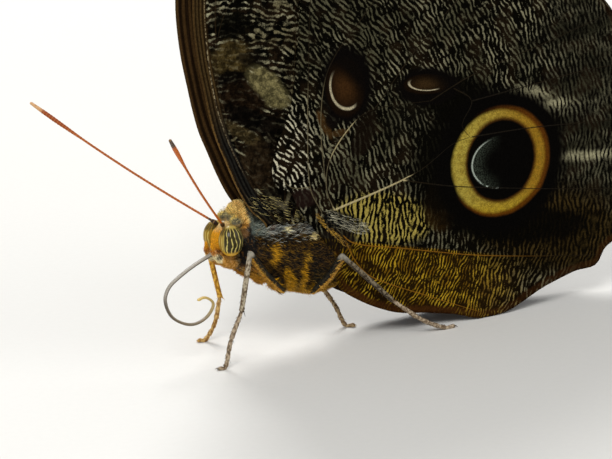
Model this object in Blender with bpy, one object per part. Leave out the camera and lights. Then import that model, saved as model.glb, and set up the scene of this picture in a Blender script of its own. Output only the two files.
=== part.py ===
"""Owl butterfly at rest on the floor, wings closed over its back, at life size.

The animal faces -X, its right side is +Y and up is +Z. The origin lies on the floor, under the
middle of the whole animal. Lengths are written in millimetres and turned into metres as each
mesh is made. Places are measured from a point on the floor under the middle of the thorax.
"""

import math

import bmesh
import bpy
from mathutils import Matrix, Vector
from mathutils.geometry import delaunay_2d_cdt, intersect_point_line

MM = 0.001
GAP = 0.3
# From the thorax to the middle of the animal, feelers and wings included
CENTRE_X = 16.4
CENTRE_Y = 0.3

# Thorax, from the neck to the waist: place along X, height of its middle, half height, half width
THORAX_SECTIONS = (
    (-10.2, 18.6, 2.6, 2.3),
    (-8.6, 18.0, 4.5, 3.7),
    (-6.0, 17.1, 5.6, 4.6),
    (-2.5, 15.8, 6.6, 5.1),
    (0.8, 14.9, 6.8, 5.1),
    (4.0, 14.1, 6.1, 4.8),
    (6.6, 13.7, 4.9, 4.1),
    (8.2, 13.5, 3.4, 3.0),
)
THORAX_ROUNDNESS = 2.4
COLLAR_CENTRE = (-10.2, 0.0, 20.9)
COLLAR_RADII = (2.6, 3.0, 3.9)

# Abdomen, hidden between the hindwings
ABDOMEN_START = (6.2, 0.0, 13.4)
ABDOMEN_END = (33.5, 0.0, 8.4)
ABDOMEN_RADIUS = 2.95
ABDOMEN_ARCH = 0.9
ABDOMEN_SEGMENTS = 8
ABDOMEN_CREASE = 0.06

# Head, facing straight ahead here: the whole head is then turned a little to the left at the neck
NECK = (-10.8, 0.0, 19.0)
HEAD_TURN = math.radians(7.0)
HEAD_CENTRE = (-12.9, 0.0, 19.4)
HEAD_RADII = (2.3, 2.4, 2.9)
EYE_CENTRE = (-13.4, 2.2, 19.6)
EYE_RADII = (2.05, 1.8, 2.5)
EYE_INNER_FACE = 1.4
PALP_PATH = (
    (-10.6, 1.2, 15.7), (-12.6, 1.4, 15.4), (-14.4, 1.3, 16.1), (-15.8, 1.05, 17.7), (-16.2, 0.8, 19.2),
)
PALP_RADII = (0.5, 0.8, 0.85, 0.65, 0.35)
PROBOSCIS_PATH = (
    (-13.8, 18.2), (-15.0, 17.6), (-19.1, 16.1), (-22.0, 14.7), (-23.9, 13.4), (-24.7, 11.7),
    (-24.3, 9.7), (-23.2, 8.1), (-21.0, 6.8), (-19.1, 6.5), (-17.2, 7.1), (-16.1, 8.1),
    (-15.7, 9.1), (-16.2, 9.9), (-17.4, 10.5), (-18.5, 10.3),
)
PROBOSCIS_RADIUS = 0.36
PROBOSCIS_TIP_RADIUS = 0.25
PROBOSCIS_LENGTHS = ("proboscis_base", "proboscis_middle", "proboscis_tip")

# Feelers: root, then tip of each
ANTENNA_ROOT = (-13.9, 0.9, 21.9)
ANTENNA_TIPS = {"left": (-33.9, -25.2, 43.2), "right": (-34.2, 25.8, 39.4)}
ANTENNA_SAG = 0.6
ANTENNA_SPANS = 16
ANTENNA_RADIUS = 0.28
CLUB_RADIUS = 0.45
CLUB_LENGTH = 8.0
CLUB_SWELLS_OVER = 0.7
CLUB_POINT = 0.45
CLUB_POINT_FROM = 0.95

# Wings: half thickness, distance of each sheet from the middle plane, and the veins' ridges
WING_HALF_THICKNESS = 0.26
FOREWING_OFFSET = 3.0
HINDWING_OFFSET = 4.35
VEIN_RAISE = 0.3
VEIN_HALF_WIDTH = 0.5
INNER_FACE_SHARE = 0.35
MARGIN_STEP = 3.2
VEIN_STEP = 4.2
VEIN_TO_EDGE = 0.35
FILL_STEP = 8.0
FILL_ROW_STEP = 7.0
FILL_TO_EDGE = 2.0
FILL_TO_POINT = 2.5
SCALLOP_DEPTH = 0.6
SCALLOP_REACH = 6.0

FOREWING_OUTLINE = (
    (-6.2, 19.5), (-7.4, 21.8), (-9.3, 23.6), (-10.9, 25.9), (-12.6, 29.4), (-14.0, 32.9),
    (-15.4, 36.4), (-16.4, 40.2), (-17.2, 44.2), (-18.0, 48.4), (-18.5, 52.6), (-18.7, 57.0),
    (-18.3, 62.5), (-16.9, 69.5), (-14.3, 77.0), (-10.4, 85.0),
    (-5.2, 92.0), (-0.5, 96.6), (3.6, 98.4), (6.8, 97.2), (10.5, 93.0), (15.5, 86.0),
    (20.5, 78.9), (25.6, 71.5), (30.4, 64.5), (33.2, 60.0), (33.6, 57.0), (31.2, 54.8),
    (22.0, 46.8), (11.5, 36.5), (3.6, 28.0), (0.2, 22.5), (-0.6, 19.5),
)
FOREWING_VEINS = {
    "costa": (
        (-6.4, 21.6), (-9.0, 24.4), (-11.9, 29.1), (-14.7, 36.0), (-16.6, 44.0), (-17.9, 52.6),
        (-18.1, 57.0), (-17.4, 65.0), (-14.4, 75.0),
    ),
    "subcosta": (
        (-5.6, 22.2), (-7.4, 24.9), (-11.1, 31.0), (-13.4, 36.0), (-15.1, 41.4), (-16.1, 47.0),
        (-16.6, 53.0), (-16.6, 60.0), (-15.7, 66.5),
    ),
    "radius": (
        (-4.8, 22.6), (-6.7, 25.4), (-10.0, 30.6), (-11.9, 35.0), (-13.5, 39.6), (-14.7, 44.4),
        (-15.0, 49.0), (-14.0, 54.6), (-11.0, 60.0),
    ),
    "radial_branch_one": ((-15.0, 49.0), (-14.8, 58.0), (-13.6, 67.0), (-9.4, 84.0)),
    "radial_branch_two": ((-11.0, 60.0), (-9.6, 70.0), (-4.8, 84.0), (1.4, 96.6)),
    "radial_branch_three": ((-9.3, 70.0), (-2.0, 81.5), (6.6, 95.6)),
    "media_one": ((-11.0, 60.0), (-4.0, 71.5), (11.0, 90.6)),
    "media_two": ((-8.0, 60.6), (0.5, 69.0), (16.0, 83.6)),
    "media_three": ((-3.5, 58.5), (6.0, 66.0), (21.0, 76.6)),
    "cell_end": ((-11.0, 60.0), (-8.0, 60.6), (-3.5, 58.5)),
    "cubitus": ((-3.8, 21.5), (-3.2, 33.0), (-1.6, 44.0), (-1.0, 54.0), (-3.5, 58.5)),
    "cubital_branch_one": ((-1.0, 54.0), (9.0, 60.5), (26.0, 69.4)),
    "cubital_branch_two": ((-1.6, 44.0), (8.5, 51.5), (30.2, 63.2)),
    "anal": ((-2.4, 21.5), (2.6, 33.5), (14.0, 46.0), (32.0, 57.8)),
}
HINDWING_OUTLINE = (
    (1.6, 19.0), (-1.6, 23.2), (-3.3, 26.6), (-5.4, 27.5), (-6.3, 29.6), (-6.0, 32.2),
    (-4.9, 35.1), (-2.8, 40.0), (-1.7, 45.0), (-1.1, 50.5), (-0.4, 57.2), (0.6, 63.5),
    (2.4, 69.5), (5.6, 74.6), (10.5, 77.6), (17.5, 78.0), (27.5, 75.6), (38.0, 70.4),
    (48.5, 61.8), (57.0, 51.0), (63.2, 39.6), (66.8, 29.0), (67.6, 20.5), (65.2, 13.8),
    (60.8, 9.8), (56.4, 8.0), (54.6, 5.5), (50.5, 4.7), (44.0, 2.8), (39.5, 0.8),
    (36.5, -0.2), (32.0, 0.0), (27.5, 0.9), (22.0, 2.0), (15.7, 3.6), (11.0, 5.5),
    (7.5, 7.5), (5.2, 9.4), (4.6, 12.0), (3.8, 15.5), (2.6, 17.8),
)
HINDWING_VEINS = {
    "subcosta": ((2.2, 22.5), (0.2, 26.9), (0.1, 37.8), (0.6, 47.4), (1.2, 57.0), (3.4, 67.0), (7.4, 75.4)),
    "humeral": ((0.2, 26.9), (-3.0, 27.2), (-5.2, 29.6)),
    "radial_sector": ((3.2, 26.0), (2.4, 36.0), (3.4, 44.0), (5.9, 48.4), (12.7, 55.7), (26.5, 75.2)),
    "upper_cell": ((4.5, 22.5), (3.2, 26.0), (3.9, 30.9), (8.6, 36.5), (12.2, 38.0), (22.8, 38.0)),
    "media_one": ((22.8, 38.0), (30.7, 41.3), (47.7, 45.9), (58.6, 48.6)),
    "media_two": ((12.2, 38.0), (21.0, 47.5), (33.0, 58.0), (44.6, 65.2)),
    "cell_end": ((27.1, 39.6), (30.6, 37.0), (28.7, 33.2), (30.2, 31.0)),
    "media_three": ((30.6, 37.0), (41.3, 38.3), (52.0, 39.4), (63.2, 39.4)),
    "cubitus": ((4.5, 22.5), (16.7, 25.5), (21.6, 27.2), (27.0, 30.3), (30.2, 31.0)),
    "cubital_branch_one": ((30.2, 31.0), (42.4, 31.1), (58.0, 30.2), (66.2, 29.4)),
    "cubital_branch_two": ((17.3, 25.6), (26.9, 23.2), (43.3, 20.5), (66.4, 17.2)),
    "anal_one": ((5.2, 19.0), (7.7, 16.6), (16.0, 14.5), (32.6, 10.6), (55.6, 7.2)),
    "anal_two": ((6.6, 16.6), (8.3, 13.2), (11.0, 10.4), (20.4, 6.0), (31.4, 1.2)),
}

# Legs: from the hip out, each with the joints where the node changes and the foot on the floor
LEG_RADII = {"femur": (0.55, 0.62, 0.45), "tibia": (0.46, 0.42, 0.4), "tarsus": (0.42, 0.4, 0.34)}
FEMUR_SAG = 0.55
LEG_JOINTS = {
    "midleg_left": ((-5.6, -2.6, 12.0), (-5.2, -4.6, 10.6), (-12.3, -7.5, 18.6), (-14.0, -7.2, 9.2)),
    "midleg_right": ((-5.6, 2.6, 12.0), (-5.2, 4.6, 10.6), (-12.6, 7.5, 17.6), (-10.4, 7.6, 7.5)),
    "hindleg_left": ((-0.2, -2.6, 11.0), (0.2, -4.7, 9.6), (3.9, -8.0, 15.8), (13.2, -7.5, 6.8)),
    "hindleg_right": ((-0.2, 2.6, 11.0), (0.2, 4.7, 9.6), (1.5, 8.3, 17.0), (7.0, 7.0, 8.0)),
}
TARSUS_MIDDLE = {
    "midleg_left": (-15.9, -6.8, 4.4),
    "midleg_right": (-11.3, 8.0, 3.0),
    "hindleg_left": (19.0, -7.3, 2.4),
    "hindleg_right": (9.2, 4.6, 3.6),
}
FOOT_HEEL = {
    "midleg_left": (-16.9, -6.6),
    "midleg_right": (-12.9, 8.5),
    "hindleg_left": (23.5, -6.9),
    "hindleg_right": (10.4, 3.3),
}
FOOT_TIP = {
    "midleg_left": (-17.9, -6.55),
    "midleg_right": (-13.7, 8.8),
    "hindleg_left": (25.1, -6.8),
    "hindleg_right": (11.4, 2.6),
}
FOOT_HEIGHT = 0.27
FORELEG_PATH = ((-7.0, 1.8, 13.6), (-8.0, 2.7, 12.3), (-9.6, 3.1, 13.3), (-11.4, 2.9, 14.9))
FORELEG_RADII = (0.5, 0.6, 0.5, 0.3)

SIDES = {"left": -1.0, "right": 1.0}
COLOURS = {
    "thorax": (0.085, 0.06, 0.04),
    "collar": (0.42, 0.26, 0.11),
    "abdomen": (0.16, 0.11, 0.06),
    "head": (0.45, 0.22, 0.06),
    "eye": (0.3, 0.27, 0.12),
    "palp": (0.55, 0.28, 0.07),
    "proboscis": (0.2, 0.14, 0.08),
    "antenna": (0.45, 0.12, 0.03),
    "forewing": (0.24, 0.2, 0.14),
    "hindwing": (0.3, 0.26, 0.16),
    "leg": (0.5, 0.4, 0.24),
}


def material_for(kind, roughness=0.7):
    """One plain material per sub-part, in the colour that the sub-part mostly has."""
    material = bpy.data.materials.new(kind)
    material.use_nodes = True
    surface = material.node_tree.nodes["Principled BSDF"]
    surface.inputs["Base Color"].default_value = (*COLOURS[kind], 1.0)
    surface.inputs["Roughness"].default_value = roughness
    surface.inputs["Metallic"].default_value = 0.0
    return material


def object_from(bm, name, kind):
    """Turns a closed bmesh, in millimetres, into a smooth-shaded object in metres."""
    bmesh.ops.recalc_face_normals(bm, faces=bm.faces)
    bmesh.ops.transform(bm, matrix=Matrix.Scale(MM, 4), verts=bm.verts)
    mesh = bpy.data.meshes.new(name)
    bm.to_mesh(mesh)
    bm.free()
    mesh.shade_smooth()
    mesh.set_sharp_from_angle(angle=math.radians(40))
    mesh.materials.append(material_for(kind))
    obj = bpy.data.objects.new(name, mesh)
    bpy.context.scene.collection.objects.link(obj)
    return obj


def keep_largest_body(bm):
    """Drops every loose scrap, leaving the body that holds the most faces."""
    left = set(bm.faces)
    bodies = []
    while left:
        front = [left.pop()]
        body = set(front)
        while front:
            face = front.pop()
            for edge in face.edges:
                for other in edge.link_faces:
                    if other in left:
                        left.discard(other)
                        body.add(other)
                        front.append(other)
        bodies.append(body)
    bodies.sort(key=lambda body: sum(face.calc_area() for face in body))
    scraps = [face for body in bodies[:-1] for face in body]
    bmesh.ops.delete(bm, geom=scraps, context="FACES")
    lone = [vert for vert in bm.verts if not vert.link_faces]
    bmesh.ops.delete(bm, geom=lone, context="VERTS")


def room_around(obj):
    """A cutter: the rounded solid as it is now, swollen along its normals by the gap."""
    mesh = obj.data.copy()
    bm = bmesh.new()
    bm.from_mesh(mesh)
    bm.normal_update()
    for vert, normal in [(vert, vert.normal.copy()) for vert in bm.verts]:
        vert.co += normal * GAP * MM
    bm.to_mesh(mesh)
    bm.free()
    room = bpy.data.objects.new("room_" + obj.name, mesh)
    room.hide_render = True
    room.display_type = "WIRE"
    bpy.context.scene.collection.objects.link(room)
    return room


def cut_clear(obj, *rooms):
    """Cuts a piece back so that it meets each neighbour face to face across the gap."""
    for room in rooms:
        boolean = obj.modifiers.new("clear", "BOOLEAN")
        boolean.operation = "DIFFERENCE"
        boolean.solver = "EXACT"
        boolean.object = room
        graph = bpy.context.evaluated_depsgraph_get()
        cut = bpy.data.meshes.new_from_object(obj.evaluated_get(graph))
        obj.modifiers.remove(boolean)
        bm = bmesh.new()
        bm.from_mesh(cut)
        keep_largest_body(bm)
        bm.to_mesh(obj.data)
        bm.free()
        bpy.data.meshes.remove(cut)
    return obj


def smooth_path(points, step, closed=False):
    """Points about a step apart on a smooth curve through the given ones."""
    points = [Vector(point) for point in points]
    count = len(points)
    spans = count if closed else count - 1
    path = []
    for i in range(spans):
        b, c = points[i], points[(i + 1) % count]
        a = points[(i - 1) % count] if closed or i else b + (b - c)
        d = points[(i + 2) % count] if closed or i + 2 < count else c + (c - b)
        reach = (c - b).length
        leave = (c - a) * reach / max((c - b).length + (b - a).length, 1e-6)
        arrive = (d - b) * reach / max((d - c).length + (c - b).length, 1e-6)
        pieces = max(1, round(reach / step))
        for k in range(pieces):
            t = k / pieces
            path.append(
                b * (2 * t**3 - 3 * t**2 + 1)
                + leave * (t**3 - 2 * t**2 + t)
                + c * (3 * t**2 - 2 * t**3)
                + arrive * (t**3 - t**2)
            )
    if not closed:
        path.append(points[-1])
    return path


def turned(point):
    """Where a point of the straight head lies once the head is turned at the neck."""
    neck = Vector(NECK)
    return Matrix.Rotation(HEAD_TURN, 3, "Z") @ (Vector(point) - neck) + neck


def turn_head_part(obj):
    """Turns a finished piece of the straight head at the neck."""
    neck = Matrix.Translation(Vector(NECK) * MM)
    obj.data.transform(neck @ Matrix.Rotation(HEAD_TURN, 4, "Z") @ neck.inverted())
    return obj


def blend(values, t):
    """A value at fraction t along evenly spaced values."""
    place = max(0.0, min(t, 1.0)) * (len(values) - 1)
    i = min(int(place), len(values) - 2)
    return values[i] + (values[i + 1] - values[i]) * (place - i)


def smooth_rise(t):
    """Rises gently from nought to one as t does."""
    t = max(0.0, min(t, 1.0))
    return t * t * (3.0 - 2.0 * t)


def bridged_rings(bm, rings):
    """Joins rings of corners into a closed skin, with a fan of triangles over each end."""
    rows = [[bm.verts.new(corner) for corner in ring] for ring in rings]
    count = len(rows[0])
    for a, b in zip(rows, rows[1:]):
        for i in range(count):
            j = (i + 1) % count
            bm.faces.new((a[i], a[j], b[j], b[i]))
    for row in (rows[0], rows[-1]):
        hub = bm.verts.new(sum((vert.co for vert in row), Vector()) / count)
        for i in range(count):
            bm.faces.new((row[i], row[(i + 1) % count], hub))


def tube(name, kind, path, radii, sides=8):
    """A closed tube along a path, with round ends. Its radius follows the evenly spaced radii."""
    lengths = [0.0]
    for a, b in zip(path, path[1:]):
        lengths.append(lengths[-1] + (b - a).length)
    total = lengths[-1]
    stations = []
    for i, place in enumerate(path):
        ahead = path[min(i + 1, len(path) - 1)] - path[max(i - 1, 0)]
        stations.append((place, ahead.normalized(), blend(radii, lengths[i] / total)))
    start, end = stations[0], stations[-1]
    stations.insert(0, (start[0] - start[1] * start[2] * 0.4, start[1], start[2] * 0.6))
    stations.append((end[0] + end[1] * end[2] * 0.4, end[1], end[2] * 0.6))
    bm = bmesh.new()
    side = stations[0][1].orthogonal().normalized()
    rings = []
    for place, along, radius in stations:
        side = (side - along * side.dot(along)).normalized()
        up = along.cross(side)
        turns = [2 * math.pi * k / sides for k in range(sides)]
        rings.append([place + (side * math.cos(a) + up * math.sin(a)) * radius for a in turns])
    bridged_rings(bm, rings)
    return object_from(bm, name, kind)


def ellipsoid(name, kind, centre, radii, segments=20, rings=12):
    """A ball stretched to its own radius on each axis."""
    bm = bmesh.new()
    bmesh.ops.create_uvsphere(bm, u_segments=segments, v_segments=rings, radius=1.0)
    bmesh.ops.transform(bm, matrix=Matrix.Diagonal((*radii, 1.0)), verts=bm.verts)
    bmesh.ops.translate(bm, vec=centre, verts=bm.verts)
    return object_from(bm, name, kind)


def make_thorax():
    """Rounded sections along X, fuller at the shoulders, where the wings and legs root."""
    bm = bmesh.new()
    corners = 24
    rings = []
    for x, height, half_height, half_width in THORAX_SECTIONS:
        ring = []
        for k in range(corners):
            turn = 2 * math.pi * k / corners
            c, s = math.cos(turn), math.sin(turn)
            power = 2.0 / THORAX_ROUNDNESS
            across = math.copysign(abs(c) ** power, c) * half_width
            upward = math.copysign(abs(s) ** power, s) * half_height
            ring.append(Vector((x, across, height + upward)))
        rings.append(ring)
    bridged_rings(bm, rings)
    return object_from(bm, "thorax", "thorax")


def make_abdomen():
    """A spindle of soft segments, drooping a little toward its end."""
    start, end = Vector(ABDOMEN_START), Vector(ABDOMEN_END)
    steps = ABDOMEN_SEGMENTS * 2
    path = []
    radii = []
    for k in range(steps + 1):
        t = k / steps
        path.append(start.lerp(end, t) + Vector((0.0, 0.0, ABDOMEN_ARCH * math.sin(math.pi * t))))
        crease = 1.0 - ABDOMEN_CREASE * (k % 2)
        radii.append(ABDOMEN_RADIUS * (0.35 + 0.65 * math.sin(math.pi * (0.18 + 0.78 * t))) * crease)
    return tube("abdomen", "abdomen", path, radii, sides=16)


def make_eyes():
    """Domes with a flat inner face, one each side of the narrow face."""
    eyes = []
    for side, sign in SIDES.items():
        x, y, z = EYE_CENTRE
        bm = bmesh.new()
        bmesh.ops.create_uvsphere(bm, u_segments=20, v_segments=12, radius=1.0)
        bmesh.ops.transform(bm, matrix=Matrix.Diagonal((*EYE_RADII, 1.0)), verts=bm.verts)
        bmesh.ops.translate(bm, vec=(x, y * sign, z), verts=bm.verts)
        sliced = bmesh.ops.bisect_plane(
            bm,
            geom=bm.verts[:] + bm.edges[:] + bm.faces[:],
            plane_co=(0.0, EYE_INNER_FACE * sign, 0.0),
            plane_no=(0.0, -sign, 0.0),
            clear_outer=True,
        )
        rim = [item for item in sliced["geom_cut"] if isinstance(item, bmesh.types.BMEdge)]
        bmesh.ops.edgenet_fill(bm, edges=rim)
        eyes.append(turn_head_part(object_from(bm, "eye_" + side, "eye")))
    return eyes


def make_head(head, head_room, collar_room, eye_rooms):
    """The head, with sockets that the eyes sit in, and the palps under the face."""
    cut_clear(head, collar_room, *eye_rooms)
    for side, sign in SIDES.items():
        path = smooth_path([turned((x, y * sign, z)) for x, y, z in PALP_PATH], 1.1)
        palp = tube("palp_" + side, "palp", path, PALP_RADII, sides=10)
        cut_clear(palp, head_room, *eye_rooms)


def make_proboscis(head_room):
    """A slender tube, half uncoiled, in three lengths that meet end to end."""
    path = smooth_path([turned((x, 0.0, z)) for x, z in PROBOSCIS_PATH], 1.1)
    parts = len(PROBOSCIS_LENGTHS)
    share = (len(path) - 1) / parts
    for k, name in enumerate(PROBOSCIS_LENGTHS):
        first, last = round(k * share), round((k + 1) * share)
        piece = path[first : last + 1]
        ends = [
            PROBOSCIS_RADIUS + (PROBOSCIS_TIP_RADIUS - PROBOSCIS_RADIUS) * (k + end) / parts
            for end in (0, 1)
        ]
        if k:
            piece[0] = piece[0] + (piece[1] - piece[0]).normalized() * (GAP / 2 + 0.4 * ends[0])
        if k < parts - 1:
            piece[-1] = piece[-1] - (piece[-1] - piece[-2]).normalized() * (GAP / 2 + 0.4 * ends[1])
        length = tube(name, "proboscis", piece, ends)
        if k == 0:
            cut_clear(length, head_room)


def make_antennae(*rooms):
    """Two long thin feelers in a wide V, each thickening slowly to a slim club."""
    for side, sign in SIDES.items():
        root = turned((ANTENNA_ROOT[0], ANTENNA_ROOT[1] * sign, ANTENNA_ROOT[2]))
        tip = Vector(ANTENNA_TIPS[side])
        club_share = CLUB_LENGTH / (tip - root).length
        path = []
        radii = []
        for k in range(ANTENNA_SPANS + 1):
            t = k / ANTENNA_SPANS
            sag = Vector((0.0, 0.0, -ANTENNA_SAG)) * math.sin(math.pi * t)
            path.append(root.lerp(tip, t) + sag)
            club = smooth_rise((t - 1.0 + club_share) / (CLUB_SWELLS_OVER * club_share))
            point = 1.0 - CLUB_POINT * smooth_rise((t - CLUB_POINT_FROM) / (1.0 - CLUB_POINT_FROM))
            radii.append((ANTENNA_RADIUS + (CLUB_RADIUS - ANTENNA_RADIUS) * club) * point)
        antenna = tube("antenna_" + side, "antenna", path, radii)
        cut_clear(antenna, *rooms)


def wing_bow(x, z):
    """How far both sheets of one side stand out, beyond their offsets, at a place on the wing."""
    ripple = 0.3 * math.sin(0.12 * x + 0.05 * z) * smooth_rise((x - 4.0) / 20.0)
    return ripple - 0.8 * smooth_rise((z - 60.0) / 40.0)


def forewing_distance(x, z):
    """Distance of the forewing from the middle plane."""
    return FOREWING_OFFSET + wing_bow(x, z)


def hindwing_distance(x, z):
    """Distance of the hindwing from the middle plane: spread below, drawn in at the far edge."""
    spread = 0.8 * smooth_rise((14.0 - z) / 14.0)
    drawn_in = 1.0 * smooth_rise((x - 42.0) / 26.0)
    return HINDWING_OFFSET + wing_bow(x, z) + spread - drawn_in


def near_vein(point, veins):
    """Height of the ridge at a point: highest on a vein's line, falling to nought beside it."""
    height = 0.0
    for line in veins:
        spans = len(line) - 1
        for i in range(spans):
            foot, along = intersect_point_line(point, line[i], line[i + 1])
            if along < 0.0:
                foot = line[i]
            elif along > 1.0:
                foot = line[i + 1]
            away = (point - foot.to_2d()).length
            slim = 1.0 - 0.5 * (i + max(0.0, min(along, 1.0))) / spans
            height = max(height, slim * (1.0 - away / (VEIN_HALF_WIDTH * (0.6 + 0.4 * slim))))
    return height


def inside(point, loop):
    """Whether a point lies within a closed outline."""
    crossings = 0
    for a, b in zip(loop, loop[1:] + loop[:1]):
        if (a.y > point.y) != (b.y > point.y):
            across = a.x + (point.y - a.y) / (b.y - a.y) * (b.x - a.x)
            crossings += across > point.x
    return crossings % 2 == 1


def edge_distance(point, loop):
    """Distance from a point to the nearest stretch of a closed outline."""
    nearest = math.inf
    for a, b in zip(loop, loop[1:] + loop[:1]):
        foot, along = intersect_point_line(point, a, b)
        foot = a if along < 0.0 else b if along > 1.0 else foot.to_2d()
        nearest = min(nearest, (point - foot).length)
    return nearest


def scalloped(loop, vein_ends, first_x):
    """Draws the outer margin in between the vein ends, on the part beyond first_x."""
    middle = sum(loop, Vector((0.0, 0.0))) / len(loop)
    drawn = []
    for point in loop:
        from_vein = min((point - end).length for end in vein_ends)
        outer = smooth_rise((point.x - first_x) / 8.0)
        depth = SCALLOP_DEPTH * smooth_rise(from_vein / SCALLOP_REACH) * outer
        drawn.append(point + (middle - point).normalized() * depth)
    return drawn


def make_wing(name, kind, sign, outline, veins, distance, scallop_from):
    """A thin sheet with the same triangles on both faces and its main veins raised as ridges."""
    lines = [smooth_path(vein, VEIN_STEP) for vein in veins.values()]
    ends = [line[-1] for line in lines]
    loop = scalloped(smooth_path(outline, MARGIN_STEP, closed=True), ends, scallop_from)
    loop = [Vector((point.x, max(point.y, 0.0))) for point in loop]
    points = list(loop)
    edges = []
    for line in lines:
        for offset in (0.0, -VEIN_HALF_WIDTH, VEIN_HALF_WIDTH):
            last = None
            for i, place in enumerate(line):
                ahead = (line[min(i + 1, len(line) - 1)] - line[max(i - 1, 0)]).normalized()
                slim = 1.0 - 0.5 * i / (len(line) - 1)
                point = place + Vector((-ahead.y, ahead.x)) * offset * (0.6 + 0.4 * slim)
                if not inside(point, loop) or edge_distance(point, loop) < VEIN_TO_EDGE:
                    last = None
                    continue
                points.append(point)
                if last is not None:
                    edges.append((last, len(points) - 1))
                last = len(points) - 1
    for row in range(15):
        for column in range(-4, 11):
            place = Vector(((column + 0.5 * (row % 2)) * FILL_STEP, row * FILL_ROW_STEP))
            if not inside(place, loop) or edge_distance(place, loop) < FILL_TO_EDGE:
                continue
            if min((place - other).length for other in points) > FILL_TO_POINT:
                points.append(place)
    sheet = delaunay_2d_cdt(points, edges, [list(range(len(loop)))], 1, 1e-4)
    flat, triangles = sheet[0], sheet[2]
    bm = bmesh.new()
    outer, inner = [], []
    for point in flat:
        ridge = VEIN_RAISE * max(0.0, near_vein(point, lines))
        middle = distance(point.x, point.y)
        reach = middle + WING_HALF_THICKNESS + ridge
        depth = middle - WING_HALF_THICKNESS - ridge * INNER_FACE_SHARE
        outer.append(bm.verts.new((point.x, sign * reach, point.y)))
        inner.append(bm.verts.new((point.x, sign * depth, point.y)))
    uses = {}
    for triangle in triangles:
        bm.faces.new([outer[i] for i in triangle])
        bm.faces.new([inner[i] for i in reversed(triangle)])
        for a, b in zip(triangle, list(triangle[1:]) + [triangle[0]]):
            uses.setdefault(frozenset((a, b)), []).append((a, b))
    for ways in uses.values():
        if len(ways) == 1:
            a, b = ways[0]
            bm.faces.new((outer[b], outer[a], inner[a], inner[b]))
    loose = [vert for vert in bm.verts if not vert.link_faces]
    bmesh.ops.delete(bm, geom=loose, context="VERTS")
    return object_from(bm, name, kind)


def make_wings(thorax_room, collar_room):
    """Forewings inside, hindwings outside, as closed wings lie."""
    for side, sign in SIDES.items():
        forewing = make_wing(
            "forewing_" + side, "forewing", sign, FOREWING_OUTLINE, FOREWING_VEINS,
            forewing_distance, 99.0,
        )
        cut_clear(forewing, thorax_room, collar_room)
        hindwing = make_wing(
            "hindwing_" + side, "hindwing", sign, HINDWING_OUTLINE, HINDWING_VEINS,
            hindwing_distance, 14.0,
        )
        cut_clear(hindwing, thorax_room)


def flat_footed(obj):
    """Cuts off what lies below the floor, so that the foot rests on a small flat."""
    bm = bmesh.new()
    bm.from_mesh(obj.data)
    sliced = bmesh.ops.bisect_plane(
        bm,
        geom=bm.verts[:] + bm.edges[:] + bm.faces[:],
        plane_co=(0.0, 0.0, 0.0),
        plane_no=(0.0, 0.0, -1.0),
        clear_outer=True,
        dist=1e-7,
    )
    rim = [item for item in sliced["geom_cut"] if isinstance(item, bmesh.types.BMEdge)]
    bmesh.ops.edgenet_fill(bm, edges=rim)
    bm.to_mesh(obj.data)
    bm.free()


def make_legs(thorax_room):
    """Four walking legs, each in three nodes that meet at the knee and the ankle."""
    for name, joints in LEG_JOINTS.items():
        inner, hip, knee, ankle = (Vector(joint) for joint in joints)
        heel = Vector((*FOOT_HEEL[name], FOOT_HEIGHT))
        tip = Vector((*FOOT_TIP[name], FOOT_HEIGHT))
        toward_knee = (knee - ankle).normalized()
        toward_ankle = (ankle - Vector(TARSUS_MIDDLE[name])).normalized()
        sagging = hip.lerp(knee, 0.5) - Vector((0.0, 0.0, FEMUR_SAG))
        thigh = smooth_path((inner, hip, sagging, knee), 2.2)
        femur = tube(name + "_femur", "leg", thigh, LEG_RADII["femur"])
        shin = [ankle + toward_knee * 0.3, (knee + ankle) / 2, knee + toward_knee * 0.1]
        tibia = tube(name + "_tibia", "leg", smooth_path(shin[::-1], 3.0), LEG_RADII["tibia"])
        foot = [ankle - toward_ankle * 0.2, Vector(TARSUS_MIDDLE[name]), heel, tip]
        tarsus = tube(name + "_tarsus", "leg", smooth_path(foot, 1.6), LEG_RADII["tarsus"])
        tibia_room = room_around(tibia)
        cut_clear(femur, thorax_room, tibia_room)
        cut_clear(tarsus, tibia_room)
        flat_footed(tarsus)


def make_forelegs(*rooms):
    """The short brush-like front legs, folded against the breast."""
    for side, sign in SIDES.items():
        path = smooth_path([(x, y * sign, z) for x, y, z in FORELEG_PATH], 1.4)
        foreleg = tube("foreleg_" + side, "leg", path, FORELEG_RADII)
        cut_clear(foreleg, *rooms)


def clear_scene():
    for obj in list(bpy.data.objects):
        bpy.data.objects.remove(obj)


def finish_objects():
    """Drops the cutters and moves the animal so that the origin lies under the middle of it."""
    shift = Matrix.Translation((-CENTRE_X * MM, -CENTRE_Y * MM, 0.0))
    for obj in list(bpy.data.objects):
        if obj.hide_render:
            bpy.data.objects.remove(obj)
        else:
            obj.data.transform(shift)


def main():
    clear_scene()
    thorax_room = room_around(make_thorax())
    eye_rooms = [room_around(eye) for eye in make_eyes()]
    collar = ellipsoid("collar", "collar", COLLAR_CENTRE, COLLAR_RADII)
    collar_room = room_around(collar)
    cut_clear(collar, thorax_room, *eye_rooms)
    head = turn_head_part(ellipsoid("head", "head", HEAD_CENTRE, HEAD_RADII))
    head_room = room_around(head)
    make_head(head, head_room, collar_room, eye_rooms)
    make_proboscis(head_room)
    make_antennae(head_room, *eye_rooms)
    cut_clear(make_abdomen(), thorax_room)
    make_wings(thorax_room, collar_room)
    make_legs(thorax_room)
    make_forelegs(thorax_room, head_room)
    finish_objects()


main()
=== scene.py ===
# %% [markdown]
# An owl butterfly stands on the floor with its wings closed over its back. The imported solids
# give every part its place. This script gives them their skin: patterned wings, a furry body,
# striped eyes and scaly legs. We work in millimetres, measured from a point on the floor under
# the middle of the thorax, and each finished mesh is turned into metres in one step.

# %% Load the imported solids
import math
from functools import partialmethod

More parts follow.
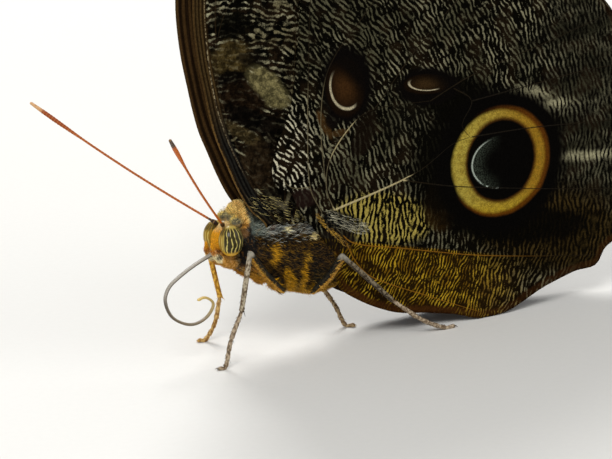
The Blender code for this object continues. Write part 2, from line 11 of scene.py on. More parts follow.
import bmesh
import bpy
import numpy as np
from mathutils import Matrix, Vector
from mathutils.bvhtree import BVHTree


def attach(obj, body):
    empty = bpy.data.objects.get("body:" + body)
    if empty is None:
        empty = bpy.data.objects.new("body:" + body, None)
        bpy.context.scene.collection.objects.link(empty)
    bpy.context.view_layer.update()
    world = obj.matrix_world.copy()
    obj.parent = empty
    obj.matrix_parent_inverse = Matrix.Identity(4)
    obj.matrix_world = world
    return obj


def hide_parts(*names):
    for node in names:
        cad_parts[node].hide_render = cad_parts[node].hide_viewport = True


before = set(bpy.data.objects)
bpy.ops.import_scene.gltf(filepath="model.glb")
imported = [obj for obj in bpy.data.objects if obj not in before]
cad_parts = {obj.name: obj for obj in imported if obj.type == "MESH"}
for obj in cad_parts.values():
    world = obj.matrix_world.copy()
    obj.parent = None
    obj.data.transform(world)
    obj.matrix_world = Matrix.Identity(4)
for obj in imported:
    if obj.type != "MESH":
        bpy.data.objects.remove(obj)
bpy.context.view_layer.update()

# %% Units and the place of the body
MM = 0.001
CENTRE = Vector((16.4, 0.3, 0.0))
TO_METRES = Matrix.Scale(MM, 4) @ Matrix.Translation(-CENTRE)
SIDES = {"left": -1.0, "right": 1.0}
RANDOM_SEED = 11
print("one millimetre is", MM, "of a unit")

# %% [markdown]
# The camera comes first, so that each new piece can be compared with the photograph. It stands
# half a metre away, a little above the animal, and leans by a degree and a half as the
# photographer's hands did. A long lens keeps the picture narrow.

# %% Camera
CAMERA_PLACE = Vector((-224.98, -426.41, 148.07))
CAMERA_AIM = Vector((1.75, 0.02, 18.66))
CAMERA_LEAN = math.radians(1.5)
LENS_IN_PIXELS = 3100.0
PICTURE_WIDTH = 612.0
SENSOR_WIDTH = 36.0


def placed(name, data):
    """A new object in the scene, with its mesh, light or camera."""
    made = bpy.data.objects.new(name, data)
    bpy.context.scene.collection.objects.link(made)
    return made


def place_camera():
    """A camera that looks from its place to its aim, leaning to one side."""
    forward = (CAMERA_AIM - CAMERA_PLACE).normalized()
    right = forward.cross(Vector((0.0, 0.0, 1.0))).normalized()
    up = right.cross(forward)
    leaning_right = right * math.cos(CAMERA_LEAN) - up * math.sin(CAMERA_LEAN)
    leaning_up = right * math.sin(CAMERA_LEAN) + up * math.cos(CAMERA_LEAN)
    turn = Matrix((leaning_right, leaning_up, -forward)).transposed().to_4x4()
    data = bpy.data.cameras.new("camera")
    data.sensor_width = SENSOR_WIDTH
    data.lens = SENSOR_WIDTH * LENS_IN_PIXELS / PICTURE_WIDTH
    data.clip_start = 0.01
    data.clip_end = 10.0
    camera = placed("camera", data)
    camera.matrix_world = Matrix.Translation(TO_METRES @ CAMERA_PLACE) @ turn
    bpy.context.scene.camera = camera
    return camera


camera = place_camera()
print("the camera stands at", [round(value, 4) for value in camera.location])

# %% [markdown]
# Every material below is a small tree of nodes. Wiring them one by one is long, so a helper
# bench makes a node, feeds its inputs and hands back its output. A formula then reads as one.

# %% A bench for wiring nodes


class Bench:
    """Makes nodes in one tree. A value may be an output socket, a number or a tuple."""

    def __init__(self, tree):
        self.tree = tree

    def feed(self, socket, value):
        if isinstance(value, bpy.types.NodeSocket):
            self.tree.links.new(value, socket)
        elif value is not None:
            socket.default_value = value

    def node(self, kind, inputs=(), **settings):
        made = self.tree.nodes.new("ShaderNode" + kind)
        for name, value in settings.items():
            setattr(made, name, value)
        for key, value in dict(inputs).items():
            self.feed(made.inputs[key], value)
        return made

    def math(self, operation, a, b=None, c=None):
        return self.node("Math", {0: a, 1: b, 2: c}, operation=operation).outputs[0]

    times = partialmethod(math, "MULTIPLY")
    times_plus = partialmethod(math, "MULTIPLY_ADD")
    plus = partialmethod(math, "ADD")
    minus = partialmethod(math, "SUBTRACT")
    divide = partialmethod(math, "DIVIDE")
    larger = partialmethod(math, "MAXIMUM")
    absolute = partialmethod(math, "ABSOLUTE")
    sine = partialmethod(math, "SINE")

    def vector(self, operation, a, b=None):
        made = self.node("VectorMath", {0: a, 1: b}, operation=operation)
        return made.outputs["Value" if operation == "LENGTH" else "Vector"]

    def scaled(self, vector, by):
        """A place or a colour times a number."""
        return self.node("VectorMath", {0: vector, "Scale": by}, operation="SCALE").outputs[0]

    def parts(self, place):
        """The X, Y and Z of a place."""
        return self.node("SeparateXYZ", {0: place}).outputs

    def span(self, value, low, high, start=0.0, end=1.0):
        """Goes gently from start to end as the value goes from low to high."""
        inputs = {"Value": value, "From Min": low, "From Max": high, "To Min": start, "To Max": end}
        return self.node("MapRange", inputs, interpolation_type="SMOOTHSTEP").outputs["Result"]

    def fall(self, value, low, high):
        """One up to low, nought from high on."""
        return self.span(value, low, high, 1.0, 0.0)

    def line(self, value, middle, full, none):
        """One within full of the middle, nought beyond none."""
        return self.minus(1.0, self.span(self.absolute(self.minus(value, middle)), full, none))

    def mix(self, share, a, b):
        """One colour turning into another as the share goes from nought to one."""
        return self.node("Mix", {0: share, 6: a, 7: b}, data_type="RGBA").outputs[2]

    def blend(self, share, a, b):
        """One number turning into another as the share goes from nought to one."""
        return self.node("Mix", {0: share, 2: a, 3: b}, data_type="FLOAT").outputs[0]

    def noise(self, place, scale, detail=2.0, roughness=0.5):
        inputs = {"Vector": place, "Scale": scale, "Detail": detail, "Roughness": roughness}
        return self.node("TexNoise", inputs).outputs["Fac"]

    def attribute(self, name, output="Fac"):
        return self.node("Attribute", attribute_name=name).outputs[output]

    def use(self, group, **inputs):
        made = self.node("Group", node_tree=group)
        for name, value in inputs.items():
            self.feed(made.inputs[name.replace("_", " ")], value)
        return made.outputs


print("the bench can make, feed and mix nodes")

# %% Groups, materials and colours


def new_group(name, inputs, outputs):
    """A shader node group with named sockets, each given as name: kind."""
    group = bpy.data.node_groups.new(name, "ShaderNodeTree")
    for way, sockets in (("INPUT", inputs), ("OUTPUT", outputs)):
        for label, kind in sockets.items():
            group.interface.new_socket(label, in_out=way, socket_type="NodeSocket" + kind)
    start, end = (group.nodes.new("NodeGroup" + way) for way in ("Input", "Output"))
    return group, Bench(group), start.outputs, end.inputs


def new_material(name):
    """An empty material and its bench, with the Principled surface ready."""
    material = bpy.data.materials.new(name)
    material.use_nodes = True
    return material, Bench(material.node_tree), material.node_tree.nodes["Principled BSDF"]


def dress(bench, surface, shade, roughness, specular, relief=None):
    """Gives a surface its colour, roughness and gloss, and a relief as height, strength and depth."""
    for name, value in (("Base Color", shade), ("Roughness", roughness), ("Specular IOR Level", specular)):
        bench.feed(surface.inputs[name], value)
    if relief:
        height, strength, depth = relief
        bump = bench.node("Bump", {"Strength": strength, "Distance": MM * depth, "Height": height})
        bench.feed(surface.inputs["Normal"], bump.outputs[0])
        return bump


def colour(red, green, blue):
    """A colour as a screen shows it, from 0 to 255, as the light that a surface sends back."""
    values = []
    for value in (red, green, blue):
        share = value / 255.0
        values.append(share / 12.92 if share <= 0.04045 else ((share + 0.055) / 1.055) ** 2.4)
    return (*values, 1.0)


print("a middle grey sends back", round(colour(128, 128, 128)[0], 3), "of the light")

# %% [markdown]
# Shapes are made as bmeshes and end as meshes, and numbers for the materials are kept on them.
# These four short helpers do that everywhere below.

# %% From bmesh to mesh, and numbers kept on it


def as_mesh(bm, name, outward=True):
    """Ends a bmesh as a mesh, its faces turned to point outwards if they don't yet."""
    if outward:
        bmesh.ops.recalc_face_normals(bm, faces=bm.faces[:])
    mesh = bpy.data.meshes.new(name)
    bm.to_mesh(mesh)
    bm.free()
    return mesh


def bridge(bm, rings):
    """Joins each ring of vertices to the next with a band of faces."""
    for pair in zip(rings, rings[1:]):
        edges = (edge for ring in pair for v in ring for edge in v.link_edges if edge.other_vert(v) in ring)
        bmesh.ops.bridge_loops(bm, edges=list(dict.fromkeys(edges)))


def read(items, key, wide=1, kind=np.float32):
    """One property of all vertices, corners or faces, as an array with wide numbers each."""
    values = np.empty(len(items) * wide, kind)
    items.foreach_get(key, values)
    return values.reshape(-1, wide) if wide > 1 else values


def keep(mesh, name, values, domain="POINT"):
    """Keeps a number or a place for each vertex or corner, for a material to read by name."""
    kind, key = ("FLOAT_VECTOR", "vector") if values.ndim > 1 else ("FLOAT", "value")
    mesh.attributes.new(name, kind, domain).data.foreach_set(key, values.astype(np.float32).ravel())


print("the helpers are ready")

# %% [markdown]
# The floor is one broad pale sheet, and three large soft lights stand round the animal, as in a
# studio: a key from the front left, a fill from the right and one from behind, which puts a rim
# on the fur and the feelers. The world itself gives a weak even grey.

# %% Floor and lights
FLOOR_HALF = 1600.0
FLOOR_COLOUR = colour(226, 224, 218)
LIGHTS = {
    # name: (place, size, watts)
    "key": ((-420.0, -520.0, 620.0), 360.0, 5.6),
    "fill": ((520.0, -420.0, 380.0), 480.0, 1.2),
    "rim": ((180.0, 520.0, 560.0), 320.0, 4.2),
}
LIGHT_AIM = Vector((16.0, 0.0, 35.0))
WORLD_COLOUR = (0.93, 0.95, 1.0, 1.0)
WORLD_STRENGTH = 0.34


def make_floor():
    bm = bmesh.new()
    bmesh.ops.create_grid(bm, x_segments=1, y_segments=1, size=FLOOR_HALF)
    bmesh.ops.transform(bm, matrix=TO_METRES, verts=bm.verts)
    mesh = as_mesh(bm, "floor", outward=False)
    material, bench, surface = new_material("floor_paint")
    place = bench.node("TexCoord").outputs["Object"]
    cloud, dust = bench.noise(place, 9.0, 3.0), bench.noise(place, 900.0, 2.0)
    shade = bench.mix(cloud, colour(222, 220, 214), FLOOR_COLOUR)
    dress(bench, surface, bench.mix(bench.times(dust, 0.12), shade, colour(190, 188, 182)), 0.6, 0.25)
    mesh.materials.append(material)
    floor = placed("floor", mesh)


def make_lights():
    aim = TO_METRES @ LIGHT_AIM
    for name, (place, size, watts) in LIGHTS.items():
        data = bpy.data.lights.new(name, "AREA")
        data.size = size * MM
        data.energy = watts
        light = placed(name, data)
        where = TO_METRES @ Vector(place)
        light.location = where
        light.rotation_euler = (aim - where).to_track_quat("-Z", "Y").to_euler()
    world = bpy.data.worlds.new("soft_room")
    world.use_nodes = True
    sky = world.node_tree.nodes["Background"]
    sky.inputs["Color"].default_value = WORLD_COLOUR
    sky.inputs["Strength"].default_value = WORLD_STRENGTH
    bpy.context.scene.world = world
    bpy.context.scene.view_settings.view_transform = "Standard"


make_floor()
make_lights()
print("floor and", len(LIGHTS), "lights")

# %% [markdown]
# A wing is a thin sheet held stiff by tubes, its veins. Its outline is drawn as a few points
# with a smooth line through them, and so is each vein. The numbers are the ones that the
# solids were made from, so the new sheets lie exactly where the solid ones are.

# %% Wing outlines and veins
FOREWING_OUTLINE = (
    (-6.2, 19.5), (-7.4, 21.8), (-9.3, 23.6), (-10.9, 25.9), (-12.6, 29.4), (-14.0, 32.9),
    (-15.4, 36.4), (-16.4, 40.2), (-17.2, 44.2), (-18.0, 48.4), (-18.5, 52.6), (-18.7, 57.0),
    (-18.3, 62.5), (-16.9, 69.5), (-14.3, 77.0), (-10.4, 85.0),
    (-5.2, 92.0), (-0.5, 96.6), (3.6, 98.4), (6.8, 97.2), (10.5, 93.0), (15.5, 86.0),
    (20.5, 78.9), (25.6, 71.5), (30.4, 64.5), (33.2, 60.0), (33.6, 57.0), (31.2, 54.8),
    (22.0, 46.8), (11.5, 36.5), (3.6, 28.0), (0.2, 22.5), (-0.6, 19.5),
)
FOREWING_VEINS = {
    "costa": (
        (-6.4, 21.6), (-9.0, 24.4), (-11.9, 29.1), (-14.7, 36.0), (-16.6, 44.0), (-17.9, 52.6),
        (-18.1, 57.0), (-17.4, 65.0), (-14.4, 75.0),
    ),
    "subcosta": (
        (-5.6, 22.2), (-7.4, 24.9), (-11.1, 31.0), (-13.4, 36.0), (-15.1, 41.4), (-16.1, 47.0),
        (-16.6, 53.0), (-16.6, 60.0), (-15.7, 66.5),
    ),
    "radius": (
        (-4.8, 22.6), (-6.7, 25.4), (-10.0, 30.6), (-11.9, 35.0), (-13.5, 39.6), (-14.7, 44.4),
        (-15.0, 49.0), (-14.0, 54.6), (-11.0, 60.0),
    ),
    "radial_branch_one": ((-15.0, 49.0), (-14.8, 58.0), (-13.6, 67.0), (-9.4, 84.0)),
    "radial_branch_two": ((-11.0, 60.0), (-9.6, 70.0), (-4.8, 84.0), (1.4, 96.6)),
    "radial_branch_three": ((-9.3, 70.0), (-2.0, 81.5), (6.6, 95.6)),
    "media_one": ((-11.0, 60.0), (-4.0, 71.5), (11.0, 90.6)),
    "media_two": ((-8.0, 60.6), (0.5, 69.0), (16.0, 83.6)),
    "media_three": ((-3.5, 58.5), (6.0, 66.0), (21.0, 76.6)),
    "cell_end": ((-11.0, 60.0), (-8.0, 60.6), (-3.5, 58.5)),
    "cubitus": ((-3.8, 21.5), (-3.2, 33.0), (-1.6, 44.0), (-1.0, 54.0), (-3.5, 58.5)),
    "cubital_branch_one": ((-1.0, 54.0), (9.0, 60.5), (26.0, 69.4)),
    "cubital_branch_two": ((-1.6, 44.0), (8.5, 51.5), (30.2, 63.2)),
    "anal": ((-2.4, 21.5), (2.6, 33.5), (14.0, 46.0), (32.0, 57.8)),
}
HINDWING_OUTLINE = (
    (1.6, 19.0), (-1.6, 23.2), (-3.3, 26.6), (-5.4, 27.5), (-6.3, 29.6), (-6.0, 32.2),
    (-4.9, 35.1), (-2.8, 40.0), (-1.7, 45.0), (-1.1, 50.5), (-0.4, 57.2), (0.6, 63.5),
    (2.4, 69.5), (5.6, 74.6), (10.5, 77.6), (17.5, 78.0), (27.5, 75.6), (38.0, 70.4),
    (48.5, 61.8), (57.0, 51.0), (63.2, 39.6), (66.8, 29.0), (67.6, 20.5), (65.2, 13.8),
    (60.8, 9.8), (56.4, 8.0), (54.6, 5.5), (50.5, 4.7), (44.0, 2.8), (39.5, 0.8),
    (36.5, -0.2), (32.0, 0.0), (27.5, 0.9), (22.0, 2.0), (15.7, 3.6), (11.0, 5.5),
    (7.5, 7.5), (5.2, 9.4), (4.6, 12.0), (3.8, 15.5), (2.6, 17.8),
)
HINDWING_VEINS = {
    "subcosta": ((2.2, 22.5), (0.2, 26.9), (0.1, 37.8), (0.6, 47.4), (1.2, 57.0), (3.4, 67.0), (7.4, 75.4)),
    "humeral": ((0.2, 26.9), (-3.0, 27.2), (-5.2, 29.6)),
    "radial_sector": ((3.2, 26.0), (2.4, 36.0), (3.4, 44.0), (5.9, 48.4), (12.7, 55.7), (26.5, 75.2)),
    "upper_cell": ((4.5, 22.5), (3.2, 26.0), (3.9, 30.9), (8.6, 36.5), (12.2, 38.0), (22.8, 38.0)),
    "media_one": ((22.8, 38.0), (30.7, 41.3), (47.7, 45.9), (58.6, 48.6)),
    "media_two": ((12.2, 38.0), (21.0, 47.5), (33.0, 58.0), (44.6, 65.2)),
    "cell_end": ((27.1, 39.6), (30.6, 37.0), (28.7, 33.2), (30.2, 31.0)),
    "media_three": ((30.6, 37.0), (41.3, 38.3), (52.0, 39.4), (63.2, 39.4)),
    "cubitus": ((4.5, 22.5), (16.7, 25.5), (21.6, 27.2), (27.0, 30.3), (30.2, 31.0)),
    "cubital_branch_one": ((30.2, 31.0), (42.4, 31.1), (58.0, 30.2), (66.2, 29.4)),
    "cubital_branch_two": ((17.3, 25.6), (26.9, 23.2), (43.3, 20.5), (66.4, 17.2)),
    "anal_one": ((5.2, 19.0), (7.7, 16.6), (16.0, 14.5), (32.6, 10.6), (55.6, 7.2)),
    "anal_two": ((6.6, 16.6), (8.3, 13.2), (11.0, 10.4), (20.4, 6.0), (31.4, 1.2)),
}
print(len(FOREWING_VEINS), "forewing veins and", len(HINDWING_VEINS), "hindwing veins")

# %% Smooth lines


def smooth_path(points, step, round_trip=False):
    """Points about a step apart on a smooth curve through the given ones."""
    points = [Vector(point) for point in points]
    count = len(points)
    path = []
    for i in range(count if round_trip else count - 1):
        b, c = points[i], points[(i + 1) % count]
        a = points[(i - 1) % count] if round_trip or i else b + (b - c)
        d = points[(i + 2) % count] if round_trip or i + 2 < count else c + (c - b)
        reach = (c - b).length
        leave = (c - a) * reach / max((c - b).length + (b - a).length, 1e-6)
        arrive = (d - b) * reach / max((d - c).length + (c - b).length, 1e-6)
        pieces = max(1, round(reach / step))
        for k in range(pieces):
            t = k / pieces
            path.append(
                b * (2 * t**3 - 3 * t**2 + 1)
                + leave * (t**3 - 2 * t**2 + t)
                + c * (3 * t**2 - 2 * t**3)
                + arrive * (t**3 - t**2)
            )
    if not round_trip:
        path.append(points[-1])
    return path


def path_length(path):
    return sum((b - a).length for a, b in zip(path, path[1:]))


def rise(t):
    """Rises gently from nought to one as t does, for one number or many."""
    t = np.clip(t, 0.0, 1.0)
    return t * t * (3.0 - 2.0 * t)


print("the forewing's edge is", round(path_length(smooth_path(FOREWING_OUTLINE, 1.0))), "mm long")

# %% Where the wings hang
FOREWING_OFFSET = 3.0
HINDWING_OFFSET = 4.35


def wing_bow(x, z):
    ripple = 0.3 * np.sin(0.12 * x + 0.05 * z) * rise((x - 4.0) / 20.0)
    return ripple - 0.8 * rise((z - 60.0) / 40.0)


def forewing_distance(x, z):
    """Distance of the forewing's sheet from the middle plane of the animal."""
    return FOREWING_OFFSET + wing_bow(x, z)


def hindwing_distance(x, z):
    """Distance of the hindwing's sheet from the middle plane of the animal."""
    spread = 0.8 * rise((14.0 - z) / 14.0)
    drawn_in = 1.0 * rise((x - 42.0) / 26.0)
    return HINDWING_OFFSET + wing_bow(x, z) + spread - drawn_in


print("the great eyespot hangs", round(float(hindwing_distance(36.0, 26.0)), 1), "mm from the middle plane")

# %% Scallops and distances
SCALLOP_DEPTH = 0.6
SCALLOP_REACH = 6.0


def scalloped(loop, vein_ends, first_x):
    """Draws the outer margin in between the vein ends, on the part beyond first_x."""
    middle = sum(loop, Vector((0.0, 0.0))) / len(loop)
    drawn = []
    for point in loop:
        from_vein = min((point - end).length for end in vein_ends)
        outer = rise((point.x - first_x) / 8.0)
        depth = SCALLOP_DEPTH * rise(from_vein / SCALLOP_REACH) * outer
        place = point + (middle - point).normalized() * depth
        drawn.append(Vector((place.x, max(place.y, 0.15))))
    return drawn


def measure_to_line(points, line):
    """For each point: its distance from a line (positive on the left), the foot and how far along."""
    starts, steps = line[:-1], np.diff(line, axis=0)
    gaps = points[:, None] - starts
    t = np.clip((gaps * steps).sum(2) / (steps**2).sum(1), 0.0, 1.0)
    away = gaps - t[..., None] * steps
    reach = np.hypot(away[..., 0], away[..., 1])
    pick = reach.argmin(1)
    rows = np.arange(len(points))
    near, step = away[rows, pick], steps[pick]
    side = np.where(step[:, 0] * near[:, 1] - step[:, 1] * near[:, 0] < 0.0, -1.0, 1.0)
    return reach[rows, pick] * side, points - near, (pick + t[rows, pick]) / len(starts)


def closed(loop):
    """An outline's points with the first one again at the end."""
    return np.vstack([loop, loop[:1]])


def lies_inside(points, loop):
    """Whether each point lies within a closed outline."""
    a, b = loop, np.roll(loop, -1, axis=0)
    crosses = (a[:, 1] > points[:, None, 1]) != (b[:, 1] > points[:, None, 1])
    with np.errstate(divide="ignore", invalid="ignore"):
        at = a[:, 0] + (points[:, None, 1] - a[:, 1]) / (b[:, 1] - a[:, 1]) * (b[:, 0] - a[:, 0])
    return (crosses & (at > points[:, None, 0])).sum(1) % 2 == 1


WINGS = {
    # kind: (outline, veins, distance from the middle plane, where the scallops begin)
    "forewing": (FOREWING_OUTLINE, FOREWING_VEINS, forewing_distance, 99.0),
    "hindwing": (HINDWING_OUTLINE, HINDWING_VEINS, hindwing_distance, 14.0),
}
print("the outlines can be drawn and measured")

# %% [markdown]
# The sheet starts as a fine flat grid. Squares outside the outline go, the rim slides on to the
# outline, and vertices near a vein slide on to its line, so that the vein is a clean ridge.
# Solidify then gives it a second face, and both faces are moved out to where the wing hangs.
# Each corner keeps two numbers for the material: its distance from the nearest vein, signed so
# that it runs straight through nought on the vein, and the vein's own width there.

# %% Flat sheets
WING_STEP = 0.46


def flat_sheet(loop, lines):
    """A flat grid in the XZ plane, cut to the outline, with vertices along every vein."""
    low, high = loop.min(0) - WING_STEP, loop.max(0) + WING_STEP
    wide, tall = high - low
    bm = bmesh.new()
    lay = Matrix.Translation(((low[0] + high[0]) / 2, 0.0, (low[1] + high[1]) / 2))
    lay = lay @ Matrix.Rotation(math.radians(90.0), 4, "X") @ Matrix.Diagonal((wide, tall, 1.0, 1.0))
    bmesh.ops.create_grid(
        bm, x_segments=round(wide / WING_STEP), y_segments=round(tall / WING_STEP), size=0.5, matrix=lay
    )
    middles = np.array([face.calc_center_median() for face in bm.faces])[:, (0, 2)]
    inside = lies_inside(middles, loop)
    bmesh.ops.delete(bm, geom=[face for face, kept in zip(bm.faces, inside) if not kept], context="FACES")
    rim = [vert for vert in bm.verts if vert.is_boundary]
    feet = measure_to_line(np.array([v.co for v in rim])[:, (0, 2)], closed(loop))[1]
    for vert, foot in zip(rim, feet):
        vert.co = (foot[0], 0.0, foot[1])
    near_rim = {other for v in rim for edge in v.link_edges for other in edge.verts if not other.is_boundary}
    bmesh.ops.smooth_vert(bm, verts=list(near_rim), factor=0.5, use_axis_x=True, use_axis_z=True)
    free = [vert for vert in bm.verts if not vert.is_boundary]
    spots = np.array([v.co for v in free])[:, (0, 2)]
    best = np.full(len(free), 9.0)
    for line in lines:
        reach, feet, _ = measure_to_line(spots, line)
        closer = (abs(reach) < best) & (abs(reach) < WING_STEP * 0.5)
        best[closer] = abs(reach[closer])
        for i in np.flatnonzero(closer):
            free[i].co = (feet[i][0], 0.0, feet[i][1])
    return bm


print("the squares of a sheet are", WING_STEP, "mm wide")

# %% Wing sheets
VEIN_HEIGHT = 0.2
VEIN_ROOT_WIDTH = 0.42
VEIN_TAPER = 0.24
MEMBRANE_HALF = 0.15
MEMBRANE_EDGE_HALF = 0.07
BILLOW = 0.1


def vein_fields(points, lines):
    """Signed distance and width of every vein, at every point."""
    reaches, widths = [], []
    for line in lines:
        reach, _, along = measure_to_line(points, line)
        reaches.append(reach)
        widths.append(VEIN_ROOT_WIDTH - VEIN_TAPER * along)
    return np.array(reaches), np.array(widths)


def make_wing_mesh(kind):
    """The left wing of this kind, in millimetres, with its measures for the material."""
    outline, veins, distance, scallop_from = WINGS[kind]
    lines = [smooth_path(vein, 1.0) for vein in veins.values()]
    loop = smooth_path(outline, 1.0, round_trip=True)
    loop = scalloped(loop, [line[-1] for line in lines], scallop_from)
    loop = np.array([point[:] for point in loop])
    lines = [np.array([point[:] for point in line]) for line in lines]
    bm = flat_sheet(loop, lines)
    bmesh.ops.solidify(bm, geom=bm.faces[:], thickness=1.0)
    places = np.array([vert.co for vert in bm.verts])
    flat = places[:, (0, 2)]
    reaches, widths = vein_fields(flat, lines)
    pick = abs(reaches).argmin(0)
    rows = np.arange(len(flat))
    away, width = abs(reaches[pick, rows]), widths[pick, rows]
    margin = abs(measure_to_line(flat, closed(loop))[0])
    ridge = VEIN_HEIGHT * width / VEIN_ROOT_WIDTH * np.clip(1.0 - away / (width + 0.25), 0.0, 1.0)
    ridge *= rise(margin / 1.5)
    half = MEMBRANE_EDGE_HALF + (MEMBRANE_HALF - MEMBRANE_EDGE_HALF) * rise(margin / 5.0)
    middle = distance(flat[:, 0], flat[:, 1]) - BILLOW * rise(away / 2.5)
    outer = places[:, 1] < places[:, 1].mean()
    reach = np.where(outer, middle + half + ridge, middle - half - 0.5 * ridge)
    for vert, value in zip(bm.verts, reach):
        vert.co.y = -value
    mesh = as_mesh(bm, kind)
    add_wing_measures(mesh, loop, lines)
    return mesh


def add_wing_measures(mesh, loop, lines):
    """Writes the vein and margin numbers, the faces' materials and a map laid out like the wing."""
    flat = read(mesh.vertices, "co", 3)[:, (0, 2)].astype(float)
    corners = read(mesh.loops, "vertex_index", kind=np.int32)
    middles = read(mesh.polygons, "center", 3)[:, (0, 2)].astype(float)
    owner = np.repeat(np.arange(len(middles)), read(mesh.polygons, "loop_total", kind=np.int32))
    pick = abs(vein_fields(middles, lines)[0]).argmin(0)[owner]
    reaches, widths = vein_fields(flat, lines)
    keep(mesh, "vein_away", reaches[pick, corners], "CORNER")
    keep(mesh, "vein_width", widths[pick, corners], "CORNER")
    keep(mesh, "margin", abs(measure_to_line(flat, closed(loop))[0]))
    inner = read(mesh.polygons, "normal", 3)[:, 1] > 0.3
    mesh.polygons.foreach_set("material_index", inner.astype(np.int32))
    low, high = loop.min(0), loop.max(0)
    share = (flat[corners] - low) / (high - low).max()
    on_inner = inner[owner][:, None]
    uv = np.where(on_inner, 0.02 + share * 0.3, np.array((0.33, 0.02)) + share * 0.66)
    mesh.uv_layers.new(name="OFBake").data.foreach_set("uv", uv.astype(np.float32).ravel())


wing_meshes = {kind: make_wing_mesh(kind) for kind in WINGS}
for kind, mesh in wing_meshes.items():
    print(kind, "has", len(mesh.polygons), "squares a wing")

# %% [markdown]
# The scales of the underside draw a fine network of pale streaks, like the lines of a finger.
# A Gabor texture draws such even, forking lines, and lets us turn them from place to place. The
# streaks stand across the veins, which spread from the wing's root, so the turn is the angle at
# which a point is seen from a spot beside the root. A soft oval is the other tool: it tells how
# far a point is from the middle of an oval, as a share of the oval's size, so that one group
# makes patches, rings and eyespots alike.

# %% Shared groups for markings
STREAK_SCALE = 0.62


def make_soft_oval():
    sockets = {"Place": "Vector", "Middle": "Vector", "Half width": "Float", "Half height": "Float"}
    sockets |= {"Turn": "Float", "Wobble": "Float"}
    group, bench, start, end = new_group("soft_oval", sockets, {"Reach": "Float"})
    away = bench.vector("SUBTRACT", start["Place"], start["Middle"])
    turned = bench.node("VectorRotate", {"Vector": away, "Angle": start["Turn"]}, rotation_type="Y_AXIS")
    parts = bench.parts(turned.outputs[0])
    across = bench.divide(parts["X"], start["Half width"])
    upward = bench.divide(parts["Z"], start["Half height"])
    flat = bench.node("CombineXYZ", {"X": across, "Z": upward}).outputs[0]
    ripple = bench.minus(bench.noise(start["Place"], 0.45, 3.0), 0.5)
    bench.feed(end["Reach"], bench.times_plus(ripple, start["Wobble"], bench.vector("LENGTH", flat)))
    return group


def make_streaks():
    sockets = {"Place": "Vector", "Root": "Vector", "Pitch": "Float", "Waver": "Float"}
    group, bench, start, end = new_group("streaks", sockets, {"Streak": "Float"})
    place = start["Place"]
    wave = bench.node("TexNoise", {"Vector": place, "Scale": 0.55, "Detail": 2.0}).outputs["Color"]
    shift = bench.scaled(bench.vector("SUBTRACT", wave, (0.5, 0.5, 0.5)), start["Waver"])
    moved = bench.parts(bench.vector("ADD", place, shift))
    away = bench.parts(bench.vector("SUBTRACT", place, start["Root"]))
    turn = bench.math("ARCTAN2", away["Z"], away["X"])
    sway = bench.times_plus(bench.noise(place, 0.3, 1.0), 1.3, -0.65)
    lines = bench.node("TexGabor", {
        "Vector": bench.node("CombineXYZ", {"X": moved["X"], "Y": moved["Z"]}).outputs[0],
        "Scale": STREAK_SCALE, "Frequency": bench.divide(1.0 / STREAK_SCALE, start["Pitch"]),
        "Anisotropy": 0.92, "Orientation": bench.plus(turn, sway),
    }, gabor_type="2D")
    blots = bench.times_plus(bench.noise(place, 0.9, 2.0), 0.5, -0.25)
    ragged = bench.times_plus(bench.noise(place, 5.0, 1.0), 0.24, -0.12)
    bench.feed(end["Streak"], bench.plus(lines.outputs["Value"], bench.plus(blots, ragged)))
    return group


SOFT_OVAL = make_soft_oval()
STREAKS = make_streaks()
print("ovals and streaks")

# %% Scale grain and vein lines


def make_scale_grain():
    """Rows of tiny scales: a grain of light and dark, and its height."""
    outputs = {"Grain": "Float", "Height": "Float"}
    group, bench, start, end = new_group("scale_grain", {"Place": "Vector"}, outputs)
    cells = bench.node("TexVoronoi", {"Vector": start["Place"], "Scale": 6.5, "Randomness": 0.7})
    tone = bench.parts(cells.outputs["Color"])["X"]
    bench.feed(end["Grain"], bench.blend(0.5, tone, bench.noise(start["Place"], 3.2, 2.0)))
    bench.feed(end["Height"], bench.minus(1.0, cells.outputs["Distance"]))
    return group


def make_vein_lines():
    """How much of a vein a point is, and the vein's height, from the numbers kept at the corners."""
    outputs = {"Vein": "Float", "Height": "Float"}
    group, bench, start, end = new_group("vein_lines", {"Slim": "Float"}, outputs)
    away = bench.absolute(bench.attribute("vein_away"))
    width = bench.times(bench.attribute("vein_width"), start["Slim"])
    share = bench.divide(away, width)
    bench.feed(end["Vein"], bench.fall(share, 0.55, 1.15))
    bench.feed(end["Height"], bench.fall(share, 0.0, 1.3))
    return group


SCALE_GRAIN = make_scale_grain()
VEIN_LINES = make_vein_lines()
print("scale grain and vein lines")

# %% Patches


def body_place(bench):
    """A point of the finished mesh, back in millimetres from under the thorax."""
    seen = bench.node("TexCoord").outputs["Object"]
    return bench.node("Mapping", {"Vector": seen, "Location": CENTRE[:], "Scale": (1000.0,) * 3}).outputs[0]


def oval(bench, place, middle, half, turn=0.0, wobble=0.0):
    """The reach of a soft oval that lies at (x, z), leaning by some degrees."""
    return bench.use(
        SOFT_OVAL, Place=place, Middle=(middle[0], 0.0, middle[1]), Half_width=half[0],
        Half_height=half[1], Turn=math.radians(turn), Wobble=wobble,
    )["Reach"]


def patch(bench, place, middle, half, turn=0.0, wobble=0.0, inner=0.75, outer=1.15):
    """A soft patch: one inside the oval, nought outside."""
    return bench.fall(oval(bench, place, middle, half, turn, wobble), inner, outer)


def painted(bench, place, shade, patches, **edges):
    """Lays patches over a shade. Each has a middle, half sizes, a turn, a colour and a strength."""
    for middle, half, turn, tone, share in patches:
        spot = patch(bench, place, middle, half, turn, **edges)
        shade = bench.mix(bench.times(spot, share), shade, tone)
    return shade


print("patches can be painted")

